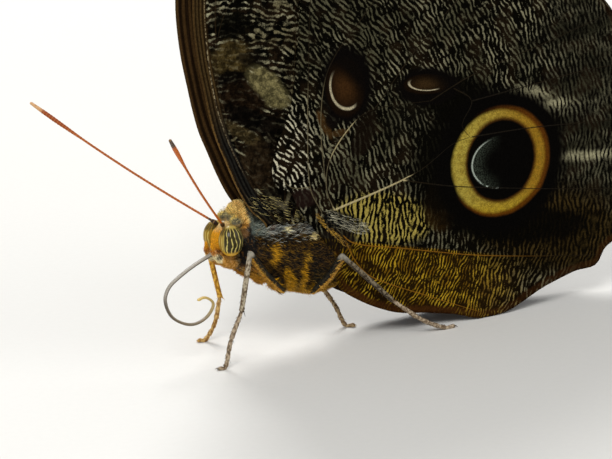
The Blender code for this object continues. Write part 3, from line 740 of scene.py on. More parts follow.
# %% [markdown]
# The great eyespot of the hindwing is built from the outside in: a black rim, a ring that goes
# from yellow to orange, and a black middle. Slate dust lies over the left of that middle, with a
# white arc of scales along its edge. Two small blind eyespots are brown ovals with such an arc.

# %% Eyespots
RING_MIDDLE = (35.9, 26.15)
RING_HALF = (9.35, 9.15)
HOLE_MIDDLE = (36.1, 26.3)
HOLE_HALF = (6.45, 6.9)
CRESCENT_MIDDLE = (36.2, 26.0)
CRESCENT_HALF = (5.6, 4.4)
BROWN_OVALS = (
    # its own oval, the black surround, its glow, and the axis along which the arc fades out
    (((7.1, 42.3), (3.7, 5.0), 8.0), ((7.4, 42.6), (5.1, 6.9), 6.0), colour(52, 32, 13), ("Z", 42.6, 45.4)),
    (((22.2, 40.8), (4.4, 1.7), -6.0), ((22.4, 40.4), (6.2, 3.3), -6.0), colour(46, 32, 15), ("Z", 41.0, 42.0)),
)


def eyespot(bench, place, shade):
    """Black rim, orange and yellow ring, black middle with a slate crescent."""
    reach = oval(bench, place, RING_MIDDLE, RING_HALF, wobble=0.035)
    parts = bench.parts(place)
    black = colour(5, 4, 3)
    shade = bench.mix(bench.fall(reach, 1.2, 1.5), shade, black)
    rightward = bench.span(parts["X"], 29.0, 43.0)
    rust = bench.mix(rightward, black, colour(76, 42, 8))
    rust = bench.mix(bench.span(parts["Z"], 22.0, 18.0), rust, colour(82, 46, 6))
    shade = bench.mix(bench.fall(reach, 0.985, 1.05), shade, rust)
    lit = bench.mix(rightward, colour(154, 137, 56), colour(136, 100, 26))
    lit = bench.mix(bench.span(parts["Z"], 21.0, 17.5), lit, colour(158, 132, 36))
    speck = bench.noise(place, 1.6, 3.0)
    lit = bench.mix(bench.span(speck, 0.35, 0.7, 0.0, 0.6), lit, colour(114, 92, 26))
    rim = bench.blend(bench.span(parts["X"], 27.0, 44.0), 0.985, 0.935)
    shade = bench.mix(bench.fall(bench.minus(reach, rim), -0.06, 0.03), shade, lit)
    hole = oval(bench, place, HOLE_MIDDLE, HOLE_HALF, wobble=0.04)
    shade = bench.mix(bench.fall(hole, 0.99, 1.11), shade, colour(64, 40, 10))
    shade = bench.mix(bench.fall(hole, 0.95, 1.02), shade, black)
    return crescent(bench, place, parts, shade)


def crescent(bench, place, parts, shade):
    """Slate dust over the left of the pupil, and a white arc of scales along its edge."""
    reach = oval(bench, place, CRESCENT_MIDDLE, CRESCENT_HALF, wobble=0.03)
    dust = bench.times(bench.span(reach, 0.35, 0.98), bench.fall(reach, 1.0, 1.06))
    grain = bench.span(bench.noise(place, 5.5, 2.0), 0.42, 0.62)
    dust = bench.times(dust, bench.span(parts["X"], 36.6, 32.4))
    dust = bench.times(dust, bench.times_plus(grain, 0.5, 0.08))
    shade = bench.mix(dust, shade, colour(66, 74, 62))
    beads = bench.span(bench.noise(place, 2.6, 0.0), 0.5, 0.56)
    beads = bench.larger(bench.span(parts["Z"], 22.8, 23.8), beads)
    beads = bench.times(beads, bench.span(parts["Z"], 30.2, 29.0))
    thread = bench.times(bench.line(reach, 0.985, 0.008, 0.04), beads)
    thread = bench.times(thread, bench.span(parts["X"], 36.4, 34.6))
    return bench.mix(thread, shade, colour(150, 158, 146))


def brown_oval(bench, place, shade, spot, surround, glow, arc_from):
    """A small blind eyespot: black surround, brown middle and a fine white arc."""
    middle, half, turn = spot
    around = bench.fall(oval(bench, place, *surround, wobble=0.22), 0.8, 1.08)
    shade = bench.mix(around, shade, colour(7, 5, 4))
    reach = oval(bench, place, middle, half, turn, 0.06)
    parts = bench.parts(place)
    heart = bench.mix(bench.span(reach, 0.05, 0.9), glow, colour(18, 10, 4))
    upper_right = bench.plus(bench.minus(parts["X"], middle[0]), bench.minus(parts["Z"], middle[1]))
    heart = bench.mix(bench.span(upper_right, 0.0, half[0]), heart, colour(9, 6, 4))
    shade = bench.mix(bench.fall(reach, 0.86, 1.06), shade, heart)
    arc = oval(bench, place, (middle[0] + 0.35, middle[1] + 0.25), (half[0] * 0.95, half[1] * 0.9), turn, 0.03)
    axis, full, none = arc_from
    thread = bench.times(bench.line(arc, 0.86, 0.02, 0.08), bench.fall(parts[axis], full, none))
    leftward = bench.fall(parts["X"], middle[0] + 0.3 * half[0], middle[0] + 0.6 * half[0])
    return bench.mix(bench.times(thread, leftward), shade, colour(158, 148, 120))


print("a great eyespot and", len(BROWN_OVALS), "brown ovals")

# %% [markdown]
# Now the hindwing's underside. Streaks come first, in four tints: white by the leading edge,
# cream over the middle, gold along the belly and grey elsewhere, with paler beams beyond the
# ring. The gold along the belly, on streaks, ground and veins, is painted golden light thrown up
# from below. Then come dark patches, the smoky shade round the great eyespot, the eyespots, and
# last the veins, pale near the root and dark across the ring.

# %% Hindwing underside
BEAMS = (((53.0, 24.8), (7.0, 0.9), -6.0), ((45.8, 34.4), (4.6, 1.1), 0.0), ((42.0, 37.0), (4.0, 1.2), -14.0))
HINDWING_PATCHES = (
    # middle, half sizes, turn, colour, strength
    ((10.4, 34.3), (2.0, 4.4), -20.0, colour(16, 10, 5), 0.9),
    ((-0.9, 25.2), (2.5, 1.7), 0.0, colour(26, 16, 12), 0.95),
    ((3.2, 36.6), (0.8, 2.8), 28.0, colour(60, 41, 18), 0.8),
    ((5.8, 35.0), (1.7, 0.6), 4.0, colour(54, 37, 17), 0.8),
    ((6.2, 20.4), (3.8, 1.5), -20.0, colour(12, 11, 9), 0.85),
    ((4.6, 37.2), (1.4, 1.4), 20.0, colour(12, 8, 6), 0.9),
    ((5.0, 17.5), (3.6, 2.2), 0.0, colour(18, 13, 9), 0.85),
    ((24.6, 20.4), (3.4, 4.6), 0.0, colour(48, 32, 9), 0.85),
    ((18.0, 35.6), (4.6, 3.0), 24.0, colour(10, 9, 5), 0.55),
)
SMOKE_PATCHES = (
    ((29.4, 27.6), (11.0, 12.6), -10.0, colour(5, 4, 2), 0.95),
    ((28.6, 37.2), (8.6, 4.4), -22.0, colour(5, 4, 2), 0.95),
    ((40.0, 14.8), (14.0, 3.4), -8.0, colour(5, 4, 2), 0.95),
)


def finish_wing(bench, surface, place, shade, streak, vein_height):
    """Grain, roughness and the raised veins, the same on every face of a wing."""
    grain = bench.use(SCALE_GRAIN, Place=place)
    height = bench.times_plus(grain["Height"], 0.05, bench.times(vein_height, 0.22))
    if streak is not None:
        height = bench.times_plus(streak, 0.03, height)
    shade = bench.scaled(shade, bench.span(grain["Grain"], 0.2, 0.8, 0.72, 1.25))
    dress(bench, surface, shade, bench.span(grain["Grain"], 0.2, 0.8, 0.78, 0.62), 0.01, (height, 0.35, 1.0))


def hindwing_network(bench, place, x, z, painted_golden_light):
    """The streaks in their tints on the dark ground, and how strongly each streak is drawn."""
    low = bench.span(z, 12.0, 24.0)
    root = {"X": bench.blend(low, -3.0, -25.0), "Z": bench.blend(low, 21.0, 19.0)}
    pitch = bench.blend(painted_golden_light, bench.blend(bench.span(z, 30.0, 40.0), 0.84, 0.8), 0.57)
    root = bench.node("CombineXYZ", root).outputs[0]
    streak = bench.use(STREAKS, Place=place, Root=root, Pitch=pitch, Waver=1.1)["Streak"]
    cream = patch(bench, place, (13.8, 19.8), (9.6, 4.4), turn=-14.0, wobble=0.35)
    white = patch(bench, place, (-4.4, 31.5), (3.4, 5.6), wobble=0.5, inner=0.7, outer=2.2)
    band = patch(bench, place, (6.4, 30.6), (7.6, 1.6), turn=-45.0, wobble=0.3)
    brown = patch(bench, place, (46.0, 13.0), (22.0, 9.0), turn=-12.0, wobble=0.5, inner=0.5)
    beams = [patch(bench, place, *beam, wobble=0.5, inner=0.2, outer=1.6) for beam in BEAMS]
    beams = bench.larger(beams[0], bench.larger(beams[1], beams[2]))
    long_clouds = bench.node("Mapping", {"Vector": place, "Scale": (0.07, 1.0, 0.42)}).outputs[0]
    long_clouds = bench.noise(long_clouds, 1.0, 2.0)
    cloud = bench.blend(bench.span(x, 42.0, 48.0), bench.noise(place, 0.16, 3.0), long_clouds)
    pale = bench.mix(bench.span(cloud, 0.35, 0.65), colour(66, 64, 47), colour(116, 112, 88))
    pale = bench.mix(bench.span(x, 40.0, 50.0, 0.0, 0.38), pale, colour(8, 7, 4))
    away = bench.absolute(bench.attribute("vein_away"))
    shady = bench.times(bench.fall(away, 0.3, 2.6), bench.span(x, 34.0, 46.0, 0.0, 0.62))
    pale = bench.mix(shady, pale, colour(10, 9, 5))
    pale = bench.mix(beams, pale, colour(140, 135, 106))
    pale = bench.mix(white, pale, colour(182, 176, 150))
    pale = bench.mix(cream, pale, colour(150, 134, 64))
    # Painted golden light thrown up from below: over the wing's lower part the streaks turn gold.
    uneven = bench.span(bench.noise(place, 0.5, 2.0), 0.36, 0.64)
    pale = bench.mix(painted_golden_light, pale, bench.mix(uneven, colour(100, 72, 11), colour(160, 129, 31)))
    pale = bench.mix(brown, pale, colour(54, 42, 18))
    dark = bench.mix(bench.span(bench.noise(place, 0.3, 2.0), 0.45, 0.7), colour(5, 4, 2), colour(22, 15, 7))
    # Painted golden light on the dark ground of the lower part as well.
    dark = bench.mix(painted_golden_light, dark, colour(30, 19, 4))
    dark = bench.mix(brown, dark, colour(9, 6, 2))
    wide = bench.times_plus(cloud, 0.24, bench.blend(white, 0.475, 0.47))
    wide = bench.times_plus(bench.larger(bench.times(band, 0.6), bench.times(cream, 0.4)), -0.1, wide)
    wide = bench.times_plus(beams, -0.12, wide)
    soft = bench.span(x, 38.0, 52.0, 0.07, 0.2)
    drawn = bench.span(bench.divide(bench.minus(streak, wide), soft), -1.0, 1.0)
    return bench.mix(drawn, dark, pale), drawn


print(len(HINDWING_PATCHES) + len(SMOKE_PATCHES), "dark patches and", len(BEAMS), "beams")

# %% Hindwing veins, and the whole underside


def hindwing_veins(bench, place, shade, x, above_fold):
    """The veins in their tints, and their height."""
    stem = patch(bench, place, (11.6, 24.6), (7.8, 1.5), turn=15.5, inner=0.9, outer=1.1)
    upper = patch(bench, place, (6.4, 33.8), (3.8, 0.9), turn=50.0, inner=0.8, outer=1.1)
    near_root = patch(bench, place, (2.0, 30.0), (7.0, 14.0), inner=0.8, outer=1.1)
    bold = bench.larger(stem, bench.times(upper, 0.7))
    slim = bench.larger(bench.times(bold, 0.52), bench.blend(near_root, 0.3, 0.26))
    veins = bench.use(VEIN_LINES, Slim=slim)
    tone = bench.mix(near_root, colour(30, 24, 15), colour(88, 80, 58))
    tone = bench.mix(bold, tone, colour(172, 158, 116))
    across_ring = bench.fall(oval(bench, place, RING_MIDDLE, RING_HALF), 1.3, 1.6)
    tone = bench.mix(across_ring, tone, colour(26, 22, 16))
    # Painted golden light on the veins of the wing's lower part.
    golden = bench.times(bench.fall(above_fold, 0.7, 0.9), bench.fall(x, 30.0, 48.0))
    tone = bench.mix(golden, tone, colour(122, 82, 22))
    return bench.mix(bench.times(veins["Vein"], 0.85), shade, tone), veins["Height"]


def make_hindwing_underside():
    material, bench, surface = new_material("hindwing_scales_outer")
    place = body_place(bench)
    parts = bench.parts(place)
    x, z = parts["X"], parts["Z"]
    above_fold = bench.times_plus(x, 0.235, bench.minus(z, 18.65))
    # The wing's lower part along the belly, where golden light thrown up from below is painted; its streaks are
    # also finer.
    painted_golden_light = bench.times(bench.fall(above_fold, -0.2, 0.2), bench.fall(x, 27.0, 46.0))
    shade, drawn = hindwing_network(bench, place, x, z, painted_golden_light)
    shade = painted(bench, place, shade, HINDWING_PATCHES, wobble=0.35)
    shade = painted(bench, place, shade, SMOKE_PATCHES, wobble=0.45, inner=0.72, outer=1.2)
    for oval_parts in BROWN_OVALS:
        shade = brown_oval(bench, place, shade, *oval_parts)
    shade = eyespot(bench, place, shade)
    shade, vein_height = hindwing_veins(bench, place, shade, x, above_fold)
    margin = bench.times_plus(bench.noise(place, 1.2, 2.0), -0.8, bench.attribute("margin"))
    along = bench.times(bench.span(x, 4.0, 7.0), bench.span(x, 20.0, 40.0, 1.0, 0.45))
    rusty = bench.times(bench.times(bench.fall(margin, 0.5, 1.1), along), bench.span(z, 40.0, 20.0, 0.3, 0.9))
    shade = bench.mix(rusty, shade, colour(56, 31, 10))
    finish_wing(bench, surface, place, shade, drawn, vein_height)
    return material


hindwing_underside = make_hindwing_underside()
print("the hindwing's underside uses", len(hindwing_underside.node_tree.nodes), "nodes")

# %% [markdown]
# The forewing shows only its leading strip below the hindwing's edge in the photograph, but it
# is finished to the tip. The strip by the leading edge is ridged and tan; its ridges are painted
# as lit crests and shaded furrows. Behind it come dark blotches, tan bands and one pale patch
# of bare-looking scales, and above them the same network as on the hindwing. Near the tip this
# kind of butterfly has a small eyespot of its own.

# %% Forewing underside
FOREWING_PATCHES = (
    # middle, half sizes, turn, colour, strength
    ((-12.2, 54.3), (4.0, 2.6), -8.0, colour(7, 6, 3), 0.96),
    ((-12.6, 49.2), (4.4, 2.8), 6.0, colour(60, 49, 24), 0.85),
    ((-9.0, 48.6), (2.6, 1.2), -10.0, colour(16, 12, 7), 0.8),
    ((-12.6, 45.8), (2.8, 1.4), 0.0, colour(8, 6, 4), 0.9),
    ((-10.4, 42.0), (4.6, 3.4), -14.0, colour(26, 17, 8), 0.92),
    ((-9.2, 38.8), (5.2, 1.8), -28.0, colour(8, 6, 4), 0.92),
    ((-9.8, 36.2), (4.6, 1.2), -35.0, colour(60, 50, 28), 0.85),
    ((-7.6, 31.0), (3.6, 5.0), 12.0, colour(34, 25, 14), 0.94),
    ((-4.6, 36.2), (2.8, 3.4), 0.0, colour(14, 10, 6), 0.85),
    ((-5.6, 43.4), (4.6, 2.2), -45.0, colour(104, 96, 62), 0.92),
    ((-4.0, 24.2), (6.0, 3.6), 0.0, colour(13, 10, 6), 0.94),
    ((0.0, 74.0), (5.0, 3.0), 20.0, colour(24, 18, 11), 0.8),
    ((-6.0, 66.0), (4.0, 3.4), 0.0, colour(30, 22, 12), 0.8),
    ((12.0, 62.0), (9.0, 4.0), 30.0, colour(28, 20, 12), 0.5),
)
SMALL_EYE = ((2.2, 88.6), (1.9, 2.3), 20.0, 0.08)
SMALL_EYE_RINGS = (
    (1.2, 1.5, colour(20, 14, 8)), (0.95, 1.08, colour(122, 92, 44)),
    (0.66, 0.78, colour(8, 7, 6)), (0.14, 0.26, colour(200, 196, 184)),
)


def forewing_strip(bench, place, shade, z, margin, leading):
    """The ridged strip along the leading edge, tan above and blackish near the root. Its ridges are
    painted in colour, as lit crests and shaded furrows.
    """
    # Painted light and shade of the ridges: lit crests and shaded furrows as stripes along the edge.
    ridge = bench.sine(bench.times(margin, 10.5))
    grainy = bench.times_plus(bench.noise(place, 1.6, 3.0), 1.8, -0.9)
    ridge = bench.span(bench.plus(ridge, grainy), -0.8, 0.9)
    low = bench.span(z, 46.0, 34.0)
    shaded_furrow = bench.mix(low, colour(28, 19, 7), colour(8, 7, 6))
    lit_crest = bench.mix(low, colour(60, 46, 24), colour(27, 26, 22))
    rim = bench.fall(bench.times_plus(bench.noise(place, 2.2, 1.0), 0.35, margin), 0.28, 0.48)
    tan = bench.mix(low, colour(62, 45, 22), colour(98, 74, 38))
    strip = bench.mix(rim, bench.mix(ridge, shaded_furrow, lit_crest), tan)
    beads = bench.span(bench.noise(place, 3.6, 0.0), 0.42, 0.56)
    beads = bench.mix(beads, colour(46, 38, 26), bench.mix(low, colour(126, 112, 84), colour(84, 76, 58)))
    return bench.mix(leading, shade, strip), beads


print(len(FOREWING_PATCHES), "patches and", len(SMALL_EYE_RINGS), "rings")

# %% The whole underside of the forewing


def make_forewing_underside():
    material, bench, surface = new_material("forewing_scales_outer")
    place = body_place(bench)
    parts = bench.parts(place)
    x, z = parts["X"], parts["Z"]
    margin = bench.attribute("margin")
    streak = bench.use(STREAKS, Place=place, Root=(-17.0, 0.0, 12.0), Pitch=0.95, Waver=1.4)["Streak"]
    cloud = bench.noise(place, 0.2, 3.0)
    pale = bench.mix(bench.span(cloud, 0.35, 0.65), colour(84, 78, 56), colour(134, 130, 104))
    dark = bench.mix(bench.span(bench.noise(place, 0.35, 2.0), 0.4, 0.7), colour(6, 5, 3), colour(30, 21, 11))
    drawn = bench.span(bench.minus(streak, bench.times_plus(cloud, 0.3, 0.425)), -0.06, 0.12)
    shade = bench.mix(drawn, dark, pale)
    shade = painted(bench, place, shade, FOREWING_PATCHES, wobble=1.1, inner=0.7, outer=1.1)
    mottle = bench.noise(place, 0.9, 5.0, 0.75)
    shade = bench.scaled(shade, bench.span(mottle, 0.4, 0.6, 0.3, 1.3))
    small_eye = oval(bench, place, *SMALL_EYE)
    for inner, outer, tone in SMALL_EYE_RINGS:
        shade = bench.mix(bench.fall(small_eye, inner, outer), shade, tone)
    wave = bench.times_plus(bench.noise(place, 0.5, 2.0), 2.4, margin)
    band = bench.times(bench.line(wave, 5.2, 0.2, 0.7), bench.span(x, -8.0, 2.0))
    shade = bench.mix(bench.times(band, 0.7), shade, colour(150, 140, 108))
    before_tip = bench.times(bench.span(x, -6.0, -7.4), bench.span(z, 78.0, 66.0))
    leading = bench.times(bench.fall(margin, 2.1, 2.5), before_tip)
    shade, beads = forewing_strip(bench, place, shade, z, margin, leading)
    veins = bench.use(VEIN_LINES, Slim=0.42)
    shade = bench.mix(bench.times(veins["Vein"], 0.3), shade, colour(50, 38, 22))
    inner_vein = bench.times(bench.span(margin, 0.7, 0.9), bench.fall(margin, 1.9, 2.1))
    inner_vein = bench.times(bench.times(inner_vein, before_tip), veins["Vein"])
    shade = bench.mix(inner_vein, shade, beads)
    finish_wing(bench, surface, place, shade, drawn, veins["Height"])
    return material


forewing_underside = make_forewing_underside()
print("the forewing's underside uses", len(forewing_underside.node_tree.nodes), "nodes")

# %% [markdown]
# The upper sides face each other while the wings are closed, so only a sliver shows, from the
# front and from above. They are warm brown, with an ochre band near the forewing's margin and a
# slate blue bloom on the hindwing, and the outer margin is darker.

# %% Upper sides


def make_upper_side(kind):
    material, bench, surface = new_material(kind + "_scales_inner")
    place = body_place(bench)
    x = bench.parts(place)["X"]
    margin = bench.attribute("margin")
    cloud = bench.noise(place, 0.12, 3.0)
    shade = bench.mix(cloud, colour(58, 38, 22), colour(92, 64, 38))
    if kind == "forewing":
        wave = bench.times_plus(bench.noise(place, 0.4, 2.0), 4.0, margin)
        band = bench.times(bench.line(wave, 8.5, 1.0, 2.8), bench.span(x, -11.0, -2.0))
        shade = bench.mix(bench.times(band, 0.75), shade, colour(168, 118, 58))
        # Painted light and shade of ridges along the leading edge, as pale and dark stripes.
        ridge = bench.span(bench.sine(bench.times(margin, 6.0)), -0.7, 0.9)
        strip = bench.mix(ridge, colour(28, 18, 8), colour(64, 46, 24))
        leading = bench.times(bench.fall(margin, 3.0, 4.2), bench.span(x, -5.0, -8.0))
        shade = bench.mix(leading, shade, strip)
    else:
        bloom = patch(bench, place, (22.0, 36.0), (30.0, 28.0), wobble=0.4, inner=0.3)
        shade = bench.mix(bench.times(bloom, 0.7), shade, colour(48, 54, 92))
    edge = bench.times(bench.fall(margin, 3.0, 9.0), bench.span(x, -6.0, 6.0))
    shade = bench.mix(bench.times(edge, 0.8), shade, colour(26, 18, 13))
    veins = bench.use(VEIN_LINES, Slim=0.7)
    shade = bench.mix(bench.times(veins["Vein"], 0.6), shade, colour(34, 22, 12))
    finish_wing(bench, surface, place, shade, None, veins["Height"])
    return material


WING_MATERIALS = {
    "forewing": (forewing_underside, make_upper_side("forewing")),
    "hindwing": (hindwing_underside, make_upper_side("hindwing")),
}
print("two upper sides")

# %% Put the four wings in place


def add_piece(name, mesh, slot, *replaced, smooth=True):
    """Turns a mesh in millimetres into a finished piece that rides on the body."""
    mesh.transform(TO_METRES)
    if smooth:
        mesh.shade_smooth()
    piece = placed(name, mesh)
    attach(piece, "root")
    if replaced:
        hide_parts(*replaced)
    return piece


def mirrored(mesh):
    """The same mesh for the other side, with its faces turned to point outwards again."""
    copy = mesh.copy()
    copy.transform(Matrix.Diagonal((1.0, -1.0, 1.0, 1.0)))
    copy.flip_normals()
    return copy


HAIR_BEDS = {}
for kind, mesh in wing_meshes.items():
    for material in WING_MATERIALS[kind]:
        mesh.materials.append(material)
    for side, side_mesh in zip(SIDES, (mesh, mirrored(mesh))):
        name = kind + "_" + side
        HAIR_BEDS[kind, side] = side_mesh.copy()
        add_piece("scaled_" + name, side_mesh, kind + "_scales", name)
print("four wings")

# %% [markdown]
# The flesh is one skin, so that no seam shows between head, collar, thorax and abdomen. Balls
# and pipes stand for the parts, a little smaller than the solids to leave room for the coat,
# and a voxel remesh melts them together. The alternative, joining them with Booleans, would
# leave hard creases at every joint.

# %% Measures of the body
THORAX_SECTIONS = (
    # place along X, height of its middle, half height, half width
    (-10.2, 18.6, 2.6, 2.3),
    (-8.6, 18.0, 4.5, 3.7),
    (-6.0, 17.1, 5.6, 4.6),
    (-2.5, 15.8, 6.6, 5.1),
    (0.8, 14.9, 6.8, 5.1),
    (4.0, 14.1, 6.1, 4.8),
    (6.6, 13.7, 4.9, 4.1),
    (8.2, 13.5, 3.4, 3.0),
)
COLLAR_CENTRE = (-10.2, 0.0, 20.9)
COLLAR_RADII = (2.6, 3.0, 3.9)
ABDOMEN_START = (6.2, 0.0, 13.4)
ABDOMEN_END = (33.5, 0.0, 8.4)
ABDOMEN_RADIUS = 2.95
ABDOMEN_SEGMENTS = 8
ABDOMEN_ARCH = 0.9
NECK = (-10.8, 0.0, 19.0)
HEAD_TURN = math.radians(7.0)
HEAD_CENTRE = (-12.9, 0.0, 19.4)
HEAD_RADII = (2.3, 2.4, 2.9)
PALP_PATH = (
    (-10.6, 1.2, 15.7), (-12.6, 1.4, 15.4), (-14.4, 1.3, 16.1), (-15.8, 1.05, 17.7), (-16.2, 0.8, 19.2),
)
PALP_RADII = (0.5, 0.8, 0.85, 0.65, 0.35)
FORELEG_PATH = ((-7.0, 1.8, 13.6), (-8.0, 2.7, 12.3), (-9.6, 3.1, 13.3), (-11.4, 2.9, 14.9))
FORELEG_RADII = (0.5, 0.6, 0.5, 0.3)
LEGS = {
    # name: hip, knee, ankle, middle of the foot, heel, tip of the foot
    "midleg_left": (
        (-5.2, -4.6, 10.6), (-12.3, -7.5, 18.6), (-14.0, -7.2, 9.2), (-15.9, -6.8, 4.4),
        (-16.9, -6.6), (-17.9, -6.55),
    ),
    "midleg_right": (
        (-5.2, 4.6, 10.6), (-12.6, 7.5, 17.6), (-10.4, 7.6, 7.5), (-11.3, 8.0, 3.0),
        (-12.9, 8.5), (-13.7, 8.8),
    ),
    "hindleg_left": (
        (0.2, -4.7, 9.6), (3.9, -8.0, 15.8), (13.2, -7.5, 6.8), (19.0, -7.3, 2.4),
        (23.5, -6.9), (25.1, -6.8),
    ),
    "hindleg_right": (
        (0.2, 4.7, 9.6), (1.5, 8.3, 17.0), (7.0, 7.0, 8.0), (9.2, 4.6, 3.6),
        (10.4, 3.3), (11.4, 2.6),
    ),
}
LEG_INNER = {
    "midleg_left": (-5.6, -2.6, 12.0), "midleg_right": (-5.6, 2.6, 12.0),
    "hindleg_left": (-0.2, -2.6, 11.0), "hindleg_right": (-0.2, 2.6, 11.0),
}
print("the thorax is", 2 * max(section[2] for section in THORAX_SECTIONS), "mm tall, with", len(LEGS), "legs")

# %% Balls and pipes


def ball(bm, centre, radii, turn=Matrix()):
    made = bmesh.ops.create_uvsphere(bm, u_segments=28, v_segments=18, radius=1.0)
    place = turn @ Matrix.Translation(centre) @ Matrix.Diagonal((*radii, 1.0))
    bmesh.ops.transform(bm, matrix=place, verts=made["verts"])


def evenly(values, t):
    """A value at fraction t along evenly spaced values."""
    return float(np.interp(t * (len(values) - 1), range(len(values)), values))


def pipe(bm, path, radii, sides=10):
    """A closed pipe along a path: circles set across it, bridged one to the next, and rounded ends.
    Every vertex keeps how far along the pipe it lies."""
    along_layer = bm.verts.layers.float.get("along") or bm.verts.layers.float.new("along")
    lengths = [0.0]
    for a, b in zip(path, path[1:]):
        lengths.append(lengths[-1] + (b - a).length)
    stations = []
    for i, place in enumerate(path):
        ahead = (path[min(i + 1, len(path) - 1)] - path[max(i - 1, 0)]).normalized()
        radius = radii(lengths[i]) if callable(radii) else evenly(radii, lengths[i] / lengths[-1])
        stations.append((place, ahead, radius, lengths[i]))
    for end, way in ((0, -1.0), (-1, 1.0)):
        place, ahead, radius, length = stations[end]
        for share, drop in ((0.45, 0.8), (0.75, 0.45)) if way > 0 else ((0.45, 0.8),):
            cap = (place + ahead * radius * share * way, ahead, radius * drop, length)
            stations.insert(0 if way < 0 else len(stations), cap)
    side = stations[0][1].orthogonal().normalized()
    rings = []
    for place, ahead, radius, length in stations:
        side = (side - ahead * side.dot(ahead)).normalized()
        up = ahead.cross(side)
        lay = Matrix((side, up, ahead)).transposed().to_4x4()
        lay.translation = place
        ends = len(rings) in (0, len(stations) - 1)
        made = bmesh.ops.create_circle(bm, cap_ends=ends, segments=sides, radius=radius, matrix=lay)["verts"]
        for vert in made:
            vert[along_layer] = length
        rings.append(made)
    bridge(bm, rings)


print("balls and pipes can be made")

# %% Flesh
COAT_DEPTH = 0.4
NECK_TURN = Matrix.Translation(NECK) @ Matrix.Rotation(HEAD_TURN, 4, "Z") @ Matrix.Translation(-Vector(NECK))


def turned(point):
    """Where a point of the straight head lies once the head is turned at the neck."""
    return NECK_TURN @ Vector(point)


FACE_AND_NECK = (
    # centre, radii, and whether it turns with the head
    ((-14.6, 0.0, 19.3), (0.8, 1.25, 2.0), NECK_TURN),
    ((-12.9, 0.0, 16.9), (1.9, 1.3, 1.2), NECK_TURN),
    ((-11.3, 0.0, 18.9), (1.4, 1.3, 1.5), Matrix()),
    ((-10.7, 0.0, 16.4), (1.7, 1.7, 2.1), Matrix()),
    ((-9.6, 0.0, 15.2), (1.8, 1.9, 1.8), Matrix()),
)


def body_core():
    """Balls and pipes for all the flesh, overlapping, each smaller than its solid by the coat."""
    bm = bmesh.new()
    rings = []
    for x, height, half_height, half_width in THORAX_SECTIONS:
        lay = Matrix.Translation((x, 0.0, height)) @ Matrix.Rotation(math.radians(90.0), 4, "Y")
        lay = lay @ Matrix.Diagonal((half_height - COAT_DEPTH, half_width - COAT_DEPTH, 1.0, 1.0))
        ends = len(rings) in (0, len(THORAX_SECTIONS) - 1)
        rings.append(bmesh.ops.create_circle(bm, cap_ends=ends, segments=28, radius=1.02, matrix=lay)["verts"])
    bridge(bm, rings)
    ball(bm, COLLAR_CENTRE, [radius - COAT_DEPTH for radius in COLLAR_RADII])
    ball(bm, HEAD_CENTRE, (HEAD_RADII[0] - 0.15, 1.75, HEAD_RADII[2] - 0.25), NECK_TURN)
    for centre, radii, turn in FACE_AND_NECK:
        ball(bm, centre, radii, turn)
    for name, (hip, *_) in LEGS.items():
        pipe(bm, [Vector(LEG_INNER[name]), Vector(LEG_INNER[name]).lerp(Vector(hip), 0.8)], (1.4, 0.55))
    start, end = Vector(ABDOMEN_START), Vector(ABDOMEN_END)
    steps = ABDOMEN_SEGMENTS * 6
    arch = [Vector((0.0, 0.0, ABDOMEN_ARCH * math.sin(math.pi * k / steps))) for k in range(steps + 1)]
    path = [start.lerp(end, k / steps) + lift for k, lift in enumerate(arch)]
    length = (end - start).length

    def abdomen_radius(place):
        t = min(place / length, 1.0)
        crease = 1.0 - 0.07 * abs(math.sin(math.pi * ABDOMEN_SEGMENTS * t)) ** 6
        return (ABDOMEN_RADIUS * (0.35 + 0.65 * math.sin(math.pi * (0.18 + 0.78 * t))) - 0.25) * crease

    pipe(bm, path, abdomen_radius, sides=24)
    for sign in SIDES.values():
        palp = smooth_path([turned((x, y * sign, z)) for x, y, z in PALP_PATH], 0.5)
        pipe(bm, palp, [radius * 0.72 for radius in PALP_RADII])
        ball(bm, (-12.1, 2.1 * sign, 22.5), (0.85, 0.75, 0.75))
        foreleg = smooth_path([(x, y * sign, z) for x, y, z in FORELEG_PATH], 0.5)
        pipe(bm, foreleg, [radius * 0.7 for radius in FORELEG_RADII])
    return as_mesh(bm, "body_core")


flesh = body_core()
print("the flesh has", len(flesh.polygons), "faces in separate balls and pipes")

# %% One skin for the body
SKIN_VOXEL = 0.2


def melted(mesh, voxel):
    """The overlapping shapes as one closed skin of even squares, smoothed."""
    lump = placed("lump", mesh)
    remesh = lump.modifiers.new("melt", "REMESH")
    remesh.mode = "VOXEL"
    remesh.voxel_size = voxel
    smooth = lump.modifiers.new("smooth", "SMOOTH")
    smooth.iterations = 3
    smooth.factor = 0.5
    skin = bpy.data.meshes.new_from_object(lump.evaluated_get(bpy.context.evaluated_depsgraph_get()))
    bpy.data.objects.remove(lump)
    return skin


def unwrapped(mesh):
    """Gives a mesh the map OFBake: its own surface cut along folds and laid flat."""
    holder = placed("holder", mesh)
    mesh.uv_layers.new(name="OFBake")
    bpy.context.view_layer.objects.active = holder
    holder.select_set(True)
    bpy.ops.object.mode_set(mode="EDIT")
    bpy.ops.mesh.select_all(action="SELECT")
    bpy.ops.uv.smart_project(angle_limit=math.radians(66.0), island_margin=0.003)
    bpy.ops.object.mode_set(mode="OBJECT")
    bpy.data.objects.remove(holder)
    return mesh


def keep_roots(mesh):
    """Each vertex keeps its own place, so that skin and coat read their markings alike."""
    keep(mesh, "root", read(mesh.vertices, "co", 3))
    return mesh


body_skin = keep_roots(unwrapped(melted(flesh, SKIN_VOXEL)))
print("the skin has", len(body_skin.polygons), "faces")

# %% [markdown]
# Hair is modelled as tufts: slim three-sided blades that bend once, each rooted in the skin.
# Thousands of them are thrown on the skin at random, more where the coat is denser, and laid
# along the way the hair grows. They are built as one array of corners, because a loop over
# thousands of small pieces would be slow. Each tuft keeps the place of its root, so that it
# takes the colour of the skin below it, a number from root to tip, and a tone of its own.

# %% Tufts of hair
FLOOR_GAP = 0.02


